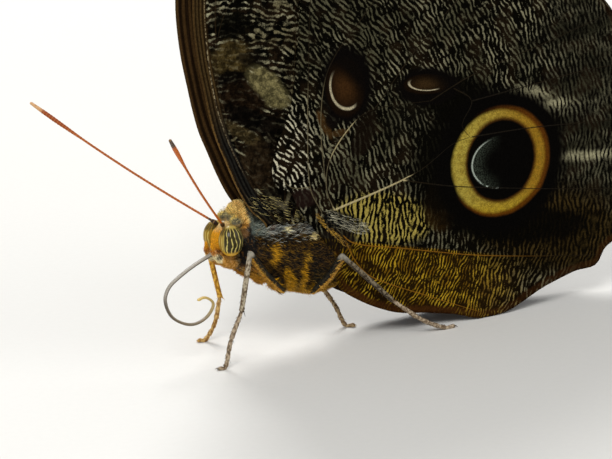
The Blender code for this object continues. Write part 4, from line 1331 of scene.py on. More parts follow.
def scattered(mesh, weigh, count, random):
    """Roots spread at random over a mesh, with the skin's normal and map place at each."""
    mesh.calc_loop_triangles()
    corners, loops = (read(mesh.loop_triangles, key, 3, np.int32) for key in ("vertices", "loops"))
    areas = read(mesh.loop_triangles, "area")
    places, normals = (read(mesh.vertices, key, 3) for key in ("co", "normal"))
    uv = read(mesh.uv_layers["OFBake"].data, "uv", 2)
    weights = areas * weigh(places[corners].mean(1), normals[corners].mean(1))
    picked = random.choice(len(areas), count, p=weights / weights.sum())
    a, b = random.random((2, count))
    a, b = np.where(a + b > 1.0, 1.0 - a, a), np.where(a + b > 1.0, 1.0 - b, b)
    shares = np.stack([1.0 - a - b, a, b], 1)[:, :, None]
    normal = (normals[corners[picked]] * shares).sum(1)
    normal /= np.linalg.norm(normal, axis=1, keepdims=True)
    return (places[corners[picked]] * shares).sum(1), normal, (uv[loops[picked]] * shares).sum(1)


def unit(vectors):
    return vectors / np.maximum(np.linalg.norm(vectors, axis=1, keepdims=True), 1e-6)


def grow_tufts(name, mesh, weigh, lie_at, count, length, width, lift, seed, spread=0.35, droop=0.7):
    """One mesh of tufts. Lift is how far they stand off the skin, in degrees, and length may be a
    number or a function of the roots."""
    random = np.random.default_rng(RANDOM_SEED + seed)
    roots, normal, uv = scattered(mesh, weigh, count, random)
    lie = lie_at(roots, normal) + random.normal(0.0, spread, (count, 3))
    lie = unit(lie - normal * (lie * normal).sum(1, keepdims=True))
    side = np.cross(normal, lie)
    lengths = (length(roots) if callable(length) else length) * random.uniform(0.65, 1.15, count)[:, None]
    widths = width * random.uniform(0.7, 1.2, count)[:, None]
    rising = np.radians(lift * random.uniform(0.6, 1.3, count))[:, None]
    first = lie * np.cos(rising) + normal * np.sin(rising)
    bent = rising * (1.0 - droop)
    second = lie * np.cos(bent) + normal * np.sin(bent)
    base = roots - normal * 0.06
    middle = base + first * lengths * 0.5
    tip = middle + second * lengths * 0.5
    flat = normal * widths * 0.3
    rows = [
        base - side * widths * 0.5, base + side * widths * 0.5, base + flat,
        middle - side * widths * 0.36, middle + side * widths * 0.36, middle + flat * 0.8, tip,
    ]
    blade = ((0, 1, 4), (0, 4, 3), (1, 2, 5), (1, 5, 4), (2, 0, 3), (2, 3, 5), (3, 4, 6), (4, 5, 6), (5, 3, 6))
    corners = (np.arange(count)[:, None, None] * 7 + np.array(blade)[None]).reshape(-1, 3)
    made = bpy.data.meshes.new(name)
    points = np.stack(rows, 1).reshape(-1, 3)
    points[:, 2] = np.maximum(points[:, 2], FLOOR_GAP)
    made.from_pydata(points, [], corners)
    spans = np.array(((-1, -1), (1, -1), (0, -1), (-0.6, 0), (0.6, 0), (0, 0), (0, 1))) * 0.0015
    made_uv = (uv[:, None] + spans[None]).reshape(-1, 2)[corners.ravel()]
    made.uv_layers.new(name="OFBake").data.foreach_set("uv", made_uv.astype(np.float32).ravel())
    keep(made, "root", np.repeat(roots, 7, axis=0))
    keep(made, "tip", np.tile((0.0, 0.0, 0.0, 0.5, 0.5, 0.5, 1.0), count))
    keep(made, "tone", np.repeat(random.random(count), 7))
    made.update()
    return made


def backward(roots, normal):
    """Hair that lies towards the tail and a little down the flanks."""
    return np.tile((1.0, 0.0, -0.35), (len(roots), 1))


def around(middle, half):
    """A weight that is one inside a soft ball round a place, and nought outside."""
    def weigh(places, normals=None):
        reach = np.linalg.norm((places - np.array(middle)) / np.array(half), axis=1)
        return np.clip(1.6 - reach, 0.0, 0.6) / 0.6
    return weigh


print("tufts can grow")

# %% [markdown]
# The body's markings are a group of soft ovals again, read from each root's place. The thorax is
# blackish brown with ochre patches, a slate bloom along its shoulder and a golden belly, which is
# painted golden light thrown up from below. The collar is a yellow fuzz with two dark buttons and
# a slate band behind it. The face is orange, and its paler top is a painted highlight.

# %% Body markings
BODY_PATCHES = (
    # (x, z), half sizes, turn, colour, strength
    ((-6.3, 16.9), (0.7, 1.5), 10.0, colour(172, 124, 14), 0.95),
    ((-7.1, 14.9), (0.7, 1.3), -20.0, colour(150, 108, 12), 0.9),
    ((-3.6, 11.9), (0.8, 2.7), 22.0, colour(164, 118, 10), 0.95),
    ((-0.9, 15.6), (0.7, 0.8), 0.0, colour(138, 104, 24), 0.9),
    ((-1.4, 12.6), (0.55, 2.8), 4.0, colour(150, 108, 12), 0.95),
    ((4.6, 17.4), (1.0, 3.0), 12.0, colour(150, 108, 12), 0.8),
    ((-3.5, 14.6), (0.7, 1.0), 0.0, colour(10, 10, 7), 0.9),
    ((0.2, 13.6), (0.8, 1.3), 0.0, colour(10, 10, 8), 0.9),
    ((2.0, 15.4), (1.6, 1.8), 0.0, colour(14, 11, 7), 0.8),
    ((-6.6, 13.8), (0.8, 3.2), 38.0, colour(8, 6, 3), 0.9),
    ((-7.0, 11.4), (1.5, 1.2), 0.0, colour(174, 126, 12), 0.95),
    ((1.4, 11.6), (1.4, 2.0), 30.0, colour(24, 26, 16), 0.85),
    ((-9.9, 19.0), (1.0, 2.2), 16.0, colour(10, 8, 6), 0.95),
    ((-5.2, 20.8), (2.8, 0.7), 14.0, colour(86, 92, 90), 0.8),
    ((-4.1, 20.3), (0.6, 0.4), 0.0, colour(216, 204, 150), 0.95),
    ((0.8, 18.7), (0.9, 0.5), 10.0, colour(206, 188, 128), 0.9),
    ((0.6, 19.8), (1.4, 0.6), 10.0, colour(66, 76, 82), 0.7),
    ((-6.9, 21.2), (0.8, 0.8), 0.0, colour(84, 44, 20), 0.9),
)


COLLAR_PATCHES = (
    ((-9.0, 22.7), (1.1, 3.2), 21.0, colour(104, 112, 100), 0.9),
    ((-8.1, 20.8), (1.4, 0.7), 28.0, colour(90, 98, 90), 0.9),
    ((-12.1, 22.5), (0.8, 0.6), 0.0, colour(70, 82, 84), 0.9),
    ((-11.5, 21.7), (0.6, 0.5), 0.0, colour(56, 62, 60), 0.9),
    ((-10.7, 20.4), (0.9, 0.7), 0.0, colour(122, 84, 40), 0.9),
)
print(len(BODY_PATCHES), "patches on the thorax and", len(COLLAR_PATCHES), "on the collar")

# %% Paint the body


def paint_abdomen(bench, shade, x, z):
    """Brown above, tan along the flanks, with a paler ring at each segment."""
    ring = bench.sine(bench.times(x, 2 * math.pi * ABDOMEN_SEGMENTS / 27.3))
    flank = bench.span(bench.times_plus(x, 0.183, z), 15.6, 13.4)
    abdomen = bench.mix(flank, colour(52, 38, 24), colour(128, 98, 58))
    abdomen = bench.mix(bench.times(bench.span(ring, 0.5, 1.0), 0.5), abdomen, colour(150, 124, 84))
    return bench.mix(bench.span(x, 6.4, 8.4), shade, abdomen)


def paint_head(bench, place, shade, x, z, fine):
    """Yellow collar with its buttons, dark neck, orange face with a painted highlight on its top, and
    cream palps with a dark spot.
    """
    collar = patch(bench, place, (-11.4, 23.5), (2.5, 2.4), wobble=0.2, inner=0.85, outer=1.1)
    fuzz = bench.mix(bench.span(x, -12.2, -10.8), colour(240, 212, 116), colour(204, 142, 52))
    fuzz = bench.mix(bench.span(fine, 0.52, 0.7, 0.0, 0.5), fuzz, colour(134, 94, 34))
    shade = painted(bench, place, bench.mix(collar, shade, fuzz), COLLAR_PATCHES, wobble=0.25)
    neck = bench.times(bench.span(z, 20.0, 19.2), bench.span(x, -9.0, -9.6))
    mottled = bench.mix(bench.span(fine, 0.55, 0.66), colour(13, 9, 4), colour(104, 68, 20))
    shade = bench.mix(bench.times(neck, 0.92), shade, mottled)
    head = bench.times(bench.span(x, -11.2, -12.0), bench.span(z, 22.4, 21.8))
    crown = bench.mix(bench.span(z, 17.6, 18.9), colour(176, 102, 12), colour(230, 160, 18))
    # Painted highlight: the top of the face turns pale.
    crown = bench.mix(bench.span(z, 20.6, 21.6), crown, colour(226, 196, 136))
    chin = bench.mix(fine, colour(168, 110, 30), colour(222, 164, 60))
    shade = bench.mix(head, shade, bench.mix(bench.span(z, 17.4, 16.8), crown, chin))
    palp = bench.times(bench.span(x, -13.6, -14.4), bench.span(z, 17.6, 16.8))
    shade = bench.mix(palp, shade, colour(228, 170, 66))
    pale = patch(bench, place, (-15.2, 16.5), (0.9, 0.8), wobble=0.4)
    spot = patch(bench, place, (-14.8, 16.8), (0.6, 0.4), wobble=0.2)
    return bench.mix(bench.times(spot, 0.95), bench.mix(pale, shade, colour(246, 234, 190)), colour(30, 22, 18))


def make_body_markings():
    group, bench, start, end = new_group("body_markings", {"Place": "Vector"}, {"Colour": "Color"})
    place = start["Place"]
    parts = bench.parts(place)
    x, z = parts["X"], parts["Z"]
    mottle, fine = bench.noise(place, 0.75, 3.0), bench.noise(place, 2.4, 2.0)
    shade = bench.mix(bench.span(mottle, 0.42, 0.62), colour(7, 6, 3), colour(24, 17, 5))
    shade = bench.mix(bench.span(fine, 0.55, 0.72), shade, colour(104, 76, 10))
    # Painted golden light thrown up from below, on the underside of the thorax.
    belly = bench.fall(bench.times_plus(mottle, 2.0, z), 10.0, 12.2)
    shade = bench.mix(bench.times(belly, 0.9), shade, colour(158, 114, 8))
    shade = bench.mix(bench.times(bench.span(z, 20.4, 21.6), 0.7), shade, colour(58, 50, 40))
    shade = painted(bench, place, shade, BODY_PATCHES, wobble=0.5)
    shade = paint_abdomen(bench, shade, x, z)
    shade = paint_head(bench, place, shade, x, z, fine)
    foreleg = patch(bench, place, (-9.4, 13.0), (2.9, 1.5), turn=-35.0)
    foreleg = bench.times(foreleg, bench.span(x, -7.4, -8.4))
    golden = bench.mix(bench.span(x, -10.6, -9.0), colour(92, 58, 22), colour(184, 128, 36))
    bench.feed(end["Colour"], bench.mix(foreleg, shade, golden))
    return group


BODY_MARKINGS = make_body_markings()
print("the markings use", len(BODY_MARKINGS.nodes), "nodes")

# %% Put the skin in place


def make_skin_material():
    material, bench, surface = new_material("body_skin")
    root = bench.attribute("root", "Vector")
    grain = bench.span(bench.noise(root, 6.0, 2.0), 0.3, 0.7, 0.45, 0.85)
    shade = bench.scaled(bench.use(BODY_MARKINGS, Place=root)["Colour"], grain)
    streaks = bench.node("Mapping", {"Vector": root, "Scale": (2.0, 9.0, 7.0)}).outputs[0]
    dress(bench, surface, shade, 0.8, 0.2, (bench.noise(streaks, 1.0, 2.0), 0.5, 0.2))
    return material


def make_coat_material(name, tips, tip_share, contrast):
    """Hair that takes the skin's markings, with tips of its own tint on about half of the tufts."""
    material, bench, surface = new_material(name)
    shade = bench.use(BODY_MARKINGS, Place=bench.attribute("root", "Vector"))["Colour"]
    tone = bench.attribute("tone")
    toward_tip = bench.times(bench.span(bench.attribute("tip"), 0.2, 1.0), bench.span(tone, 0.4, 0.8))
    shade = bench.mix(bench.times(toward_tip, tip_share), shade, tips)
    shade = bench.scaled(shade, bench.span(tone, 0.0, 1.0, 1.0 - contrast, 1.0 + contrast))
    dress(bench, surface, shade, bench.span(tone, 0.0, 1.0, 0.62, 0.42), 0.1)
    return material


FLESH = ("thorax", "collar", "abdomen", "head", "palp_left", "palp_right", "foreleg_left", "foreleg_right")
body_skin.materials.append(make_skin_material())
add_piece("body_skin", body_skin.copy(), "body_hair", *FLESH)
print("the skin stands for", len(FLESH), "solids")

# %% Where each coat grows


def thorax_weight(places, normals):
    x, _, z = places.T
    return ((x > -9.2) & (x < 7.6)) * (0.8 + 0.4 * (z < 11.0))


def abdomen_weight(places, normals):
    return (places[:, 0] >= 7.2).astype(float)


def shoulder_weight(places, normals):
    x, _, z = places.T
    return ((x > -8.6) & (x < 6.4) & (z > 18.2)) * np.clip((z - 18.2) / 1.6, 0.1, 1.0)


def belly_weight(places, normals):
    x, _, z = places.T
    return ((x > -8.4) & (x < 7.0) & (z < 12.0)) * np.clip(-normals[:, 2] + 0.2, 0.0, 1.0)


def collar_weight(places, normals):
    x, y, z = places.T
    across = x + 0.53 * abs(y)
    fuzz = (across < -9.5 - 0.38 * (z - 22.6)) & (z > 21.9 - 0.4 * (x + 11.0)) & (x > -13.2)
    return fuzz * (1.0 - 0.97 * (around((-12.3, 0.0, 22.4), (1.1, 9.0, 1.1))(places) > 0.8))


def band_weight(places, normals):
    x, _, z = places.T
    return ((x > -13.6) & (x < -7.0) & (z > 18.4)).astype(float)


def head_weight(places, normals):
    x, _, z = places.T
    return ((x < -11.2) & (z > 17.4) & (z < 22.6)) * np.where(x < -14.0, 1.6, 0.8)


def palp_weight(places, normals):
    return ((places[:, 0] < -11.0) & (places[:, 2] <= 17.9)).astype(float)


def foreleg_weight(places, normals):
    near = around((-9.4, 0.0, 13.3), (2.4, 4.2, 1.7))(places)
    return near * (abs(places[:, 1]) > 1.9) * (places[:, 0] < -7.6)


print("nine coats know where they grow")

# %% How the hair lies, and how long it is


def fixed_lie(x, z, outward=0.0):
    """Hair that lies one way everywhere, and fans out sideways by a share of its distance."""
    def lie(roots, normal):
        return np.stack([np.full(len(roots), x), roots[:, 1] * outward, np.full(len(roots), z)], 1)
    return lie


def palp_lie(roots, normal):
    """Forward everywhere, and upward on the palps' front."""
    ways = np.tile((-0.9, 0.0, -0.1), (len(roots), 1))
    ways[roots[:, 0] < -14.0, 2] = 1.5
    return ways


def collar_length(roots):
    """Longer toward the wings."""
    return 0.4 + 1.0 * rise((roots[:, 0] + 13.0) / 1.6)[:, None]


def head_length(roots):
    """Short scales on the face, longer hair over the crown."""
    return 0.3 + 0.45 * rise((roots[:, 2] - 20.6) / 1.2)[:, None]


print("the hair's lie and length are set")

# %% Grow the coat
COATS = (
    # name, slot, weight, lie, tufts, length, width, lift, then tip colour, its share, contrast
    ("thorax_coat", "body_hair", thorax_weight, backward, 19000, 1.1, 0.14, 20.0,
     colour(170, 118, 24), 0.22, 0.75),
    ("shoulder_hair", "body_hair", shoulder_weight, fixed_lie(1.0, -0.1), 3000, 1.6, 0.1, 24.0,
     colour(196, 196, 180), 0.7, 0.8),
    # The belly hair grows on downward-facing skin; its golden tips are painted golden light thrown up from
    # below.
    ("belly_hair", "body_hair", belly_weight, fixed_lie(1.0, -0.4), 2600, 1.2, 0.1, 34.0,
     colour(224, 172, 70), 0.8, 0.4),
    ("abdomen_coat", "abdomen_scales", abdomen_weight, backward, 9000, 0.8, 0.17, 14.0,
     colour(150, 126, 84), 0.3, 0.35),
    ("collar_band", "collar_hair", band_weight, fixed_lie(0.6, -0.7), 5200, 0.45, 0.1, 16.0,
     colour(150, 158, 150), 0.35, 0.4),
    ("collar_coat", "collar_hair", collar_weight, fixed_lie(0.2, 0.9, 0.35), 7600, collar_length, 0.07, 60.0,
     colour(254, 232, 150), 0.85, 0.68),
    ("head_coat", "head_hair", head_weight, fixed_lie(0.35, 0.8), 6200, head_length, 0.08, 26.0,
     colour(240, 190, 106), 0.4, 0.25),
    ("palp_coat", "palp_hair", palp_weight, palp_lie, 5200, 0.72, 0.09, 30.0,
     colour(250, 232, 178), 0.5, 0.35),
    ("foreleg_coat", "leg_scales", foreleg_weight, fixed_lie(-0.85, 0.25), 3600, 0.8, 0.1, 24.0,
     colour(232, 184, 84), 0.5, 0.35),
)
for seed, (name, slot, *growth, tips, share, contrast) in enumerate(COATS):
    tufts = grow_tufts(name, body_skin, *growth, seed)
    tufts.materials.append(make_coat_material(name, tips, share, contrast))
    add_piece(name, tufts, slot, smooth=False)
    print(name, "has", len(tufts.polygons), "faces")

# %% [markdown]
# Where the wings leave the body, longer hair lies over their roots. It grows on a copy of the
# wing's own sheet, beside a line drawn there, and thins out with the distance from that line.

# %% Hair at the roots of the wings
WING_HAIR = (
    # name, wing, line that it grows beside, reach, tufts, length, lie along X and Z, dark, light
    ("golden_root_hair", "hindwing", ((1.2, 22.4), (2.9, 19.9), (4.7, 18.4), (6.2, 16.6)),
     0.36, 300, 1.0, (0.6, -0.5), colour(60, 40, 8), colour(204, 158, 54)),
    ("silver_root_hair", "hindwing", ((3.4, 21.8), (5.5, 20.4), (9.2, 18.9)),
     1.3, 260, 1.6, (0.95, -0.38), colour(10, 9, 7), colour(212, 206, 174)),
    # Dark hair over the forewing's root; its pale tufts are painted glints of light.
    ("root_hair_with_painted_glints", "forewing", ((-8.6, 25.6), (-5.0, 23.8), (-0.6, 22.4)),
     2.4, 320, 1.3, (0.85, -0.4), colour(12, 10, 6), colour(202, 184, 116)),
)
ROOT_HAIR = {"width": 0.05, "lift": 12.0, "spread": 0.14}
ROOT_HAIR_SEED = 40


def make_plain_hair(name, dark, light):
    """Hair of one kind, each tuft with its own shade between dark and light."""
    material, bench, surface = new_material(name)
    dress(bench, surface, bench.mix(bench.span(bench.attribute("tone"), 0.3, 0.9), dark, light), 0.5, 0.25)
    return material


for seed, (name, wing, line, reach, count, length, lie, dark, light) in enumerate(WING_HAIR):
    material = make_plain_hair(name, dark, light)
    for side, sign in SIDES.items():

        def beside_line(places, normals):
            away = abs(measure_to_line(places[:, (0, 2)].astype(float), np.array(line))[0])
            return np.clip(1.0 - away / reach, 0.0, 1.0) * (normals[:, 1] * sign > 0.3)

        tufts = grow_tufts(
            name, HAIR_BEDS[wing, side], beside_line, fixed_lie(*lie), count, length,
            seed=ROOT_HAIR_SEED + seed, **ROOT_HAIR,
        )
        tufts.materials.append(material)
        add_piece(name + "_" + side, tufts, wing + "_scales", smooth=False)
print(len(WING_HAIR), "kinds of hair at the wing roots")

# %% [markdown]
# Each compound eye is a sphere drawn out tall and cut flat on its inner side, where it sits in
# the head. Its stripes run from pole to pole like the lines of a globe, so they are read from the
# angle round the eye's own upright axis, with a waver added. The facets are a fine relief.

# %% Compound eyes
EYE_CENTRE = (-13.4, 2.2, 19.6)
EYE_RADII = (2.05, 1.8, 2.5)
EYE_INNER_FACE = 1.4
EYE_STRIPES = 21.0


def make_eye_mesh(sign):
    bm = bmesh.new()
    centre = Vector((EYE_CENTRE[0], EYE_CENTRE[1] * sign, EYE_CENTRE[2]))
    made = bmesh.ops.create_uvsphere(bm, u_segments=64, v_segments=40, radius=1.0)
    lay = Matrix.Translation(centre) @ Matrix.Diagonal((*EYE_RADII, 1.0))
    bmesh.ops.transform(bm, matrix=lay, verts=made["verts"])
    cut = bmesh.ops.bisect_plane(
        bm, geom=bm.verts[:] + bm.edges[:] + bm.faces[:], dist=1e-4,
        plane_co=(0.0, EYE_INNER_FACE * sign, 0.0), plane_no=(0.0, -sign, 0.0), clear_outer=True,
    )
    bmesh.ops.holes_fill(bm, edges=[part for part in cut["geom_cut"] if isinstance(part, bmesh.types.BMEdge)])
    bmesh.ops.transform(bm, matrix=NECK_TURN, verts=bm.verts[:])
    return as_mesh(bm, "eye")


def make_eye_material(name, sign):
    material, bench, surface = new_material(name)
    centre = turned((EYE_CENTRE[0], EYE_CENTRE[1] * sign, EYE_CENTRE[2]))
    place = body_place(bench)
    apart = bench.vector("SUBTRACT", place, tuple(centre))
    fitted = bench.vector("DIVIDE", apart, EYE_RADII)
    turn = bench.node("Mapping", {"Vector": fitted, "Rotation": (0.0, 0.0, -HEAD_TURN)}).outputs[0]
    parts = bench.parts(turn)
    height = parts["Z"]
    angle = bench.math("ARCTAN2", parts["X"], bench.plus(bench.times(parts["Y"], sign), 0.25))
    waver = bench.minus(bench.noise(place, 0.7, 2.0), 0.5)
    wave = bench.sine(bench.times(bench.plus(angle, bench.times(waver, 0.42)), EYE_STRIPES))
    thick = bench.minus(bench.noise(place, 1.6, 1.0), 0.5)
    stripe = bench.span(bench.plus(wave, bench.times(thick, 1.2)), -0.95, -0.6)
    fade = bench.times(bench.span(height, -0.8, -0.56), bench.span(height, 0.96, 0.8))
    front = bench.larger(bench.span(angle, -1.0, -0.84), bench.span(height, 0.3, 0.6, 0.0, 0.85))
    stripe = bench.times(stripe, bench.times(fade, front))
    pale = bench.mix(bench.span(angle, -0.8, -1.1), colour(192, 176, 98), colour(150, 118, 34))
    threads = bench.times(bench.span(wave, 0.3, 0.9), bench.span(angle, -0.85, -1.0))
    pale = bench.mix(bench.times(threads, 0.75), pale, colour(208, 186, 104))
    pale = bench.mix(bench.fall(height, -0.8, -0.42), pale, colour(212, 162, 34))
    pale = bench.mix(bench.span(height, 0.7, 0.9, 0.0, 0.6), pale, colour(178, 146, 66))
    shade = bench.mix(bench.times(stripe, 0.95), pale, colour(22, 15, 6))
    facets = bench.node("TexVoronoi", {"Vector": place, "Scale": 13.0, "Randomness": 0.25}).outputs["Distance"]
    dress(bench, surface, shade, 0.3, 0.1, (facets, 0.25, 0.03)).invert = True
    surface.inputs["Coat Weight"].default_value = 0.2
    surface.inputs["Coat Roughness"].default_value = 0.15
    return material


for side, sign in SIDES.items():
    eye = make_eye_mesh(sign)
    eye.materials.append(make_eye_material("striped_eye_" + side, sign))
    add_piece("striped_eye_" + side, eye, "eye", "eye_" + side)
print("two eyes")

# %% [markdown]
# The feelers and the legs are pipes whose radius is a function of how far along they lie, so a
# ring, a knuckle or the swelling of the club is only a bump in that function.

# %% Feelers
ANTENNA_ROOT = (-13.9, 0.9, 21.9)
ANTENNA_TIPS = {"left": (-33.9, -25.2, 43.2), "right": (-34.2, 25.8, 39.4)}
ANTENNA_SAG = 0.6
ANTENNA_RING = 0.55
CLUB_LENGTH = 11.0


def piped(name, paths, sides=10):
    """A mesh of one or more pipes, each given as its path and its radius along it."""
    bm = bmesh.new()
    for path, radius in paths:
        pipe(bm, path, radius, sides)
    return as_mesh(bm, name)


def antenna_path(side, sign):
    root = turned((ANTENNA_ROOT[0], ANTENNA_ROOT[1] * sign, ANTENNA_ROOT[2]))
    tip = Vector(ANTENNA_TIPS[side])
    count = int((tip - root).length / (ANTENNA_RING / 4))
    drop = Vector((0.0, 0.0, -ANTENNA_SAG))
    return [root.lerp(tip, k / count) + drop * math.sin(math.pi * k / count) for k in range(count + 1)]


def antenna_radius(length):
    def radius(along):
        share = min(max((along - (length - CLUB_LENGTH)) / CLUB_LENGTH, 0.0), 1.0)
        base = 0.19 + 0.17 * math.sin(math.pi * share ** 1.3 * 0.92)
        scape = 0.22 * max(0.0, 1.0 - abs(along - 0.5) / 0.75)
        knuckle = 0.9 + 0.12 * abs(math.sin(math.pi * along / ANTENNA_RING))
        return (base + scape) * knuckle
    return radius


def make_antenna_material(name, length, shaft, club, tip):
    material, bench, surface = new_material(name)
    along = bench.attribute("along")
    shade = bench.mix(bench.span(along, length - 10.0, length - 6.0), shaft, club)
    shade = bench.mix(bench.span(along, length - 2.8, length - 1.6), shade, tip)
    shade = bench.mix(bench.span(along, 2.2, 1.2), shade, colour(34, 20, 12))
    ring = bench.span(bench.math("FRACT", bench.divide(along, ANTENNA_RING)), 0.72, 0.86)
    shade = bench.mix(bench.times(ring, 0.3), shade, colour(226, 170, 90))
    grain = bench.noise(body_place(bench), 5.0, 2.0)
    shade = bench.mix(bench.span(grain, 0.45, 0.7, 0.0, 0.4), shade, colour(84, 34, 8))
    dress(bench, surface, shade, 0.5, 0.2)
    return material


# The two feelers are alike, so the differences between their tints are painted light and shade.
ANTENNA_TINTS = {
    "left": (colour(198, 96, 14), colour(206, 98, 22), colour(62, 60, 60)),
    "right": (colour(172, 84, 16), colour(150, 66, 18), colour(214, 168, 118)),
}
for side, sign in SIDES.items():
    path = antenna_path(side, sign)
    length = path_length(path)
    antenna = piped("antenna", [(path, antenna_radius(length))])
    antenna.materials.append(make_antenna_material("ringed_antenna_" + side, length, *ANTENNA_TINTS[side]))
    add_piece("ringed_antenna_" + side, antenna, "antenna", "antenna_" + side)
    print("the", side, "feeler is", round(length, 1), "mm long")

# %% [markdown]
# The tongue is two half tubes that lie side by side, with a groove above and below. It is
# half uncoiled, so its path is drawn as a few points in the middle plane of the head.

# %% Tongue
PROBOSCIS_PATH = (
    (-13.8, 18.2), (-15.0, 17.6), (-19.1, 16.1), (-22.0, 14.7), (-23.9, 13.4), (-24.7, 11.7), (-24.3, 9.7),
    (-23.2, 8.1), (-21.0, 6.8), (-19.1, 6.5), (-17.2, 7.1), (-16.1, 8.1), (-15.7, 9.1), (-16.2, 9.9),
    (-17.4, 10.5), (-18.5, 10.3),
)
TONGUE_PATH = smooth_path([turned((x, 0.0, z)) for x, z in PROBOSCIS_PATH], 0.25)
TONGUE_LENGTH = path_length(TONGUE_PATH)
TONGUE_HALF_GAP = 0.1
TONGUE_RING = 0.3


def tongue_radius(along):
    return 0.29 - 0.09 * along / TONGUE_LENGTH


def make_tongue_material():
    material, bench, surface = new_material("tongue")
    along = bench.attribute("along")
    above = bench.parts(bench.node("NewGeometry").outputs["Normal"])["Z"]
    # Painted highlight on the top of the tongue and painted shade underneath, read from which way each face
    # points.
    shade = bench.mix(bench.span(above, -0.35, 0.35), colour(58, 42, 22), colour(160, 152, 138))
    shade = bench.mix(bench.span(along, 13.0, 20.0, 0.0, 0.7), shade, colour(112, 92, 58))
    shade = bench.mix(bench.span(along, 22.0, 30.0), shade, colour(214, 184, 104))
    ring = bench.sine(bench.times(along, 2 * math.pi / TONGUE_RING))
    shade = bench.mix(bench.span(ring, 0.2, 1.0, 0.0, 0.3), shade, colour(40, 32, 28))
    dress(bench, surface, shade, 0.3, 0.5, (ring, 0.4, 0.04))
    return material


halves = [
    ([place + Vector((0.0, y, 0.0)) for place in TONGUE_PATH], tongue_radius)
    for y in (-TONGUE_HALF_GAP, TONGUE_HALF_GAP)
]
tongue = piped("tongue", halves, 12)
tongue.materials.append(make_tongue_material())
add_piece("tongue", tongue, "proboscis", "proboscis_base", "proboscis_middle", "proboscis_tip")
print("the tongue is", round(TONGUE_LENGTH, 1), "mm long")

# %% [markdown]
# A walking leg is one pipe from the hip to the toe, thick at the thigh, slim at the shin and
# knotted at the five joints of the foot. Claws, spurs and spines are small pipes of their own.
# The scales are tufts again, laid along the leg, and long golden hair hangs below the thigh.

# %% Shapes of the legs
FOOT_HEIGHT = 0.27
FEMUR_SAG = 0.55
TARSUS_SHARES = (0.0, 0.42, 0.62, 0.76, 0.88, 1.0)
LEG_STEP = 0.2
CLAW_LENGTH = 0.65


def leg_path(name):
    """The leg's middle line from inside the hip to the toe, and how far along each joint lies."""
    hip, knee, ankle, middle = (Vector(place) for place in LEGS[name][:4])
    heel, tip = (Vector((*place, FOOT_HEIGHT)) for place in LEGS[name][4:])
    sagging = hip.lerp(knee, 0.5) - Vector((0.0, 0.0, FEMUR_SAG))
    path, marks = [], [0.0]
    for points in ((LEG_INNER[name], hip), (hip, sagging, knee), (knee, ankle), (ankle, middle, heel, tip)):
        span = smooth_path(points, LEG_STEP)
        marks.append(marks[-1] + path_length(span))
        path += span if points[-1] is tip else span[:-1]
    return path, marks


def leg_radius(marks):
    """The leg's thickness along it: a stout thigh, a slim shin, and a foot of five joints."""
    _, hip, knee, ankle, end = marks
    joints = [ankle + (end - ankle) * share for share in TARSUS_SHARES]

    def radius(along):
        if along < knee:
            return 0.4 + 0.18 * math.sin(math.pi * min(max((along - hip) / (knee - hip) * 0.8 + 0.1, 0.0), 1.0))
        if along < ankle:
            share = (along - knee) / (ankle - knee)
            return 0.38 + 0.06 * math.sin(math.pi * share) + 0.08 * math.exp(-((share - 1.0) / 0.05) ** 2)
        for a, b in zip(joints, joints[1:]):
            if along <= b:
                share = (along - a) / (b - a)
                return 0.31 + 0.1 * share ** 1.5 - 0.05 * math.exp(-(share / 0.12) ** 2)
        return 0.3

    return radius


def hook(start, ahead, down, size):
    """A claw's path: out, then over and down."""
    steps = ((0.45, -0.05), (0.8, 0.12), (1.0, 0.36))
    return [start] + [start + ahead * size * out + down * size * drop for out, drop in steps]


def leg_extras(path, marks):
    """Claws at the toe, two spurs at the shin's end and two rows of spines down shin and foot."""
    ahead = (path[-1] - path[-4]).normalized()
    side = ahead.cross(Vector((0.0, 0.0, 1.0))).normalized()
    extras = []
    for way in (-1.0, 1.0):
        lay = (ahead + side * 0.4 * way).normalized()
        start = path[-1] + side * 0.14 * way
        extras.append((hook(start, lay, Vector((0.0, 0.0, -1.0)), CLAW_LENGTH), (0.1, 0.08, 0.05, 0.015)))
    steps = np.cumsum([0.0] + [(b - a).length for a, b in zip(path, path[1:])])
    random = np.random.default_rng(RANDOM_SEED + 90)
    spurs = [(marks[3] - 0.5, turn, 1.0, 0.09) for turn in (1.2, -1.2)]
    rows = [marks[3] - 6.0 + (marks[4] - marks[3] + 5.4) * k / 57 for k in range(58)]
    spines = [(at, random.uniform(-1.2, 1.2) + math.pi * (k % 2), 0.45, 0.045) for k, at in enumerate(rows)]
    for along, turn, size, radius in spurs + spines:
        at = int(np.searchsorted(steps, along))
        way = (path[min(at + 1, len(path) - 1)] - path[at - 1]).normalized()
        out = Matrix.Rotation(turn, 3, way) @ way.cross(Vector((0.0, 1.0, 0.0))).normalized()
        start = path[at] + out * 0.3
        end = start + (out * 0.55 + way * 0.85) * size * random.uniform(0.8, 1.2)
        end.z = max(end.z, 0.1)
        extras.append(([start, start.lerp(end, 0.5), end], (radius, radius * 0.7, 0.01)))
    return extras


print("the legs' shapes are ready")

# %% Scales of the legs
LEG_TINTS = {
    # name: share of painted golden light, which differs between legs that are alike, and dark share of the shin
    "midleg_left": (0.0, 0.0), "midleg_right": (1.0, 0.0),
    "hindleg_left": (0.0, 0.75), "hindleg_right": (0.35, 0.5),
}


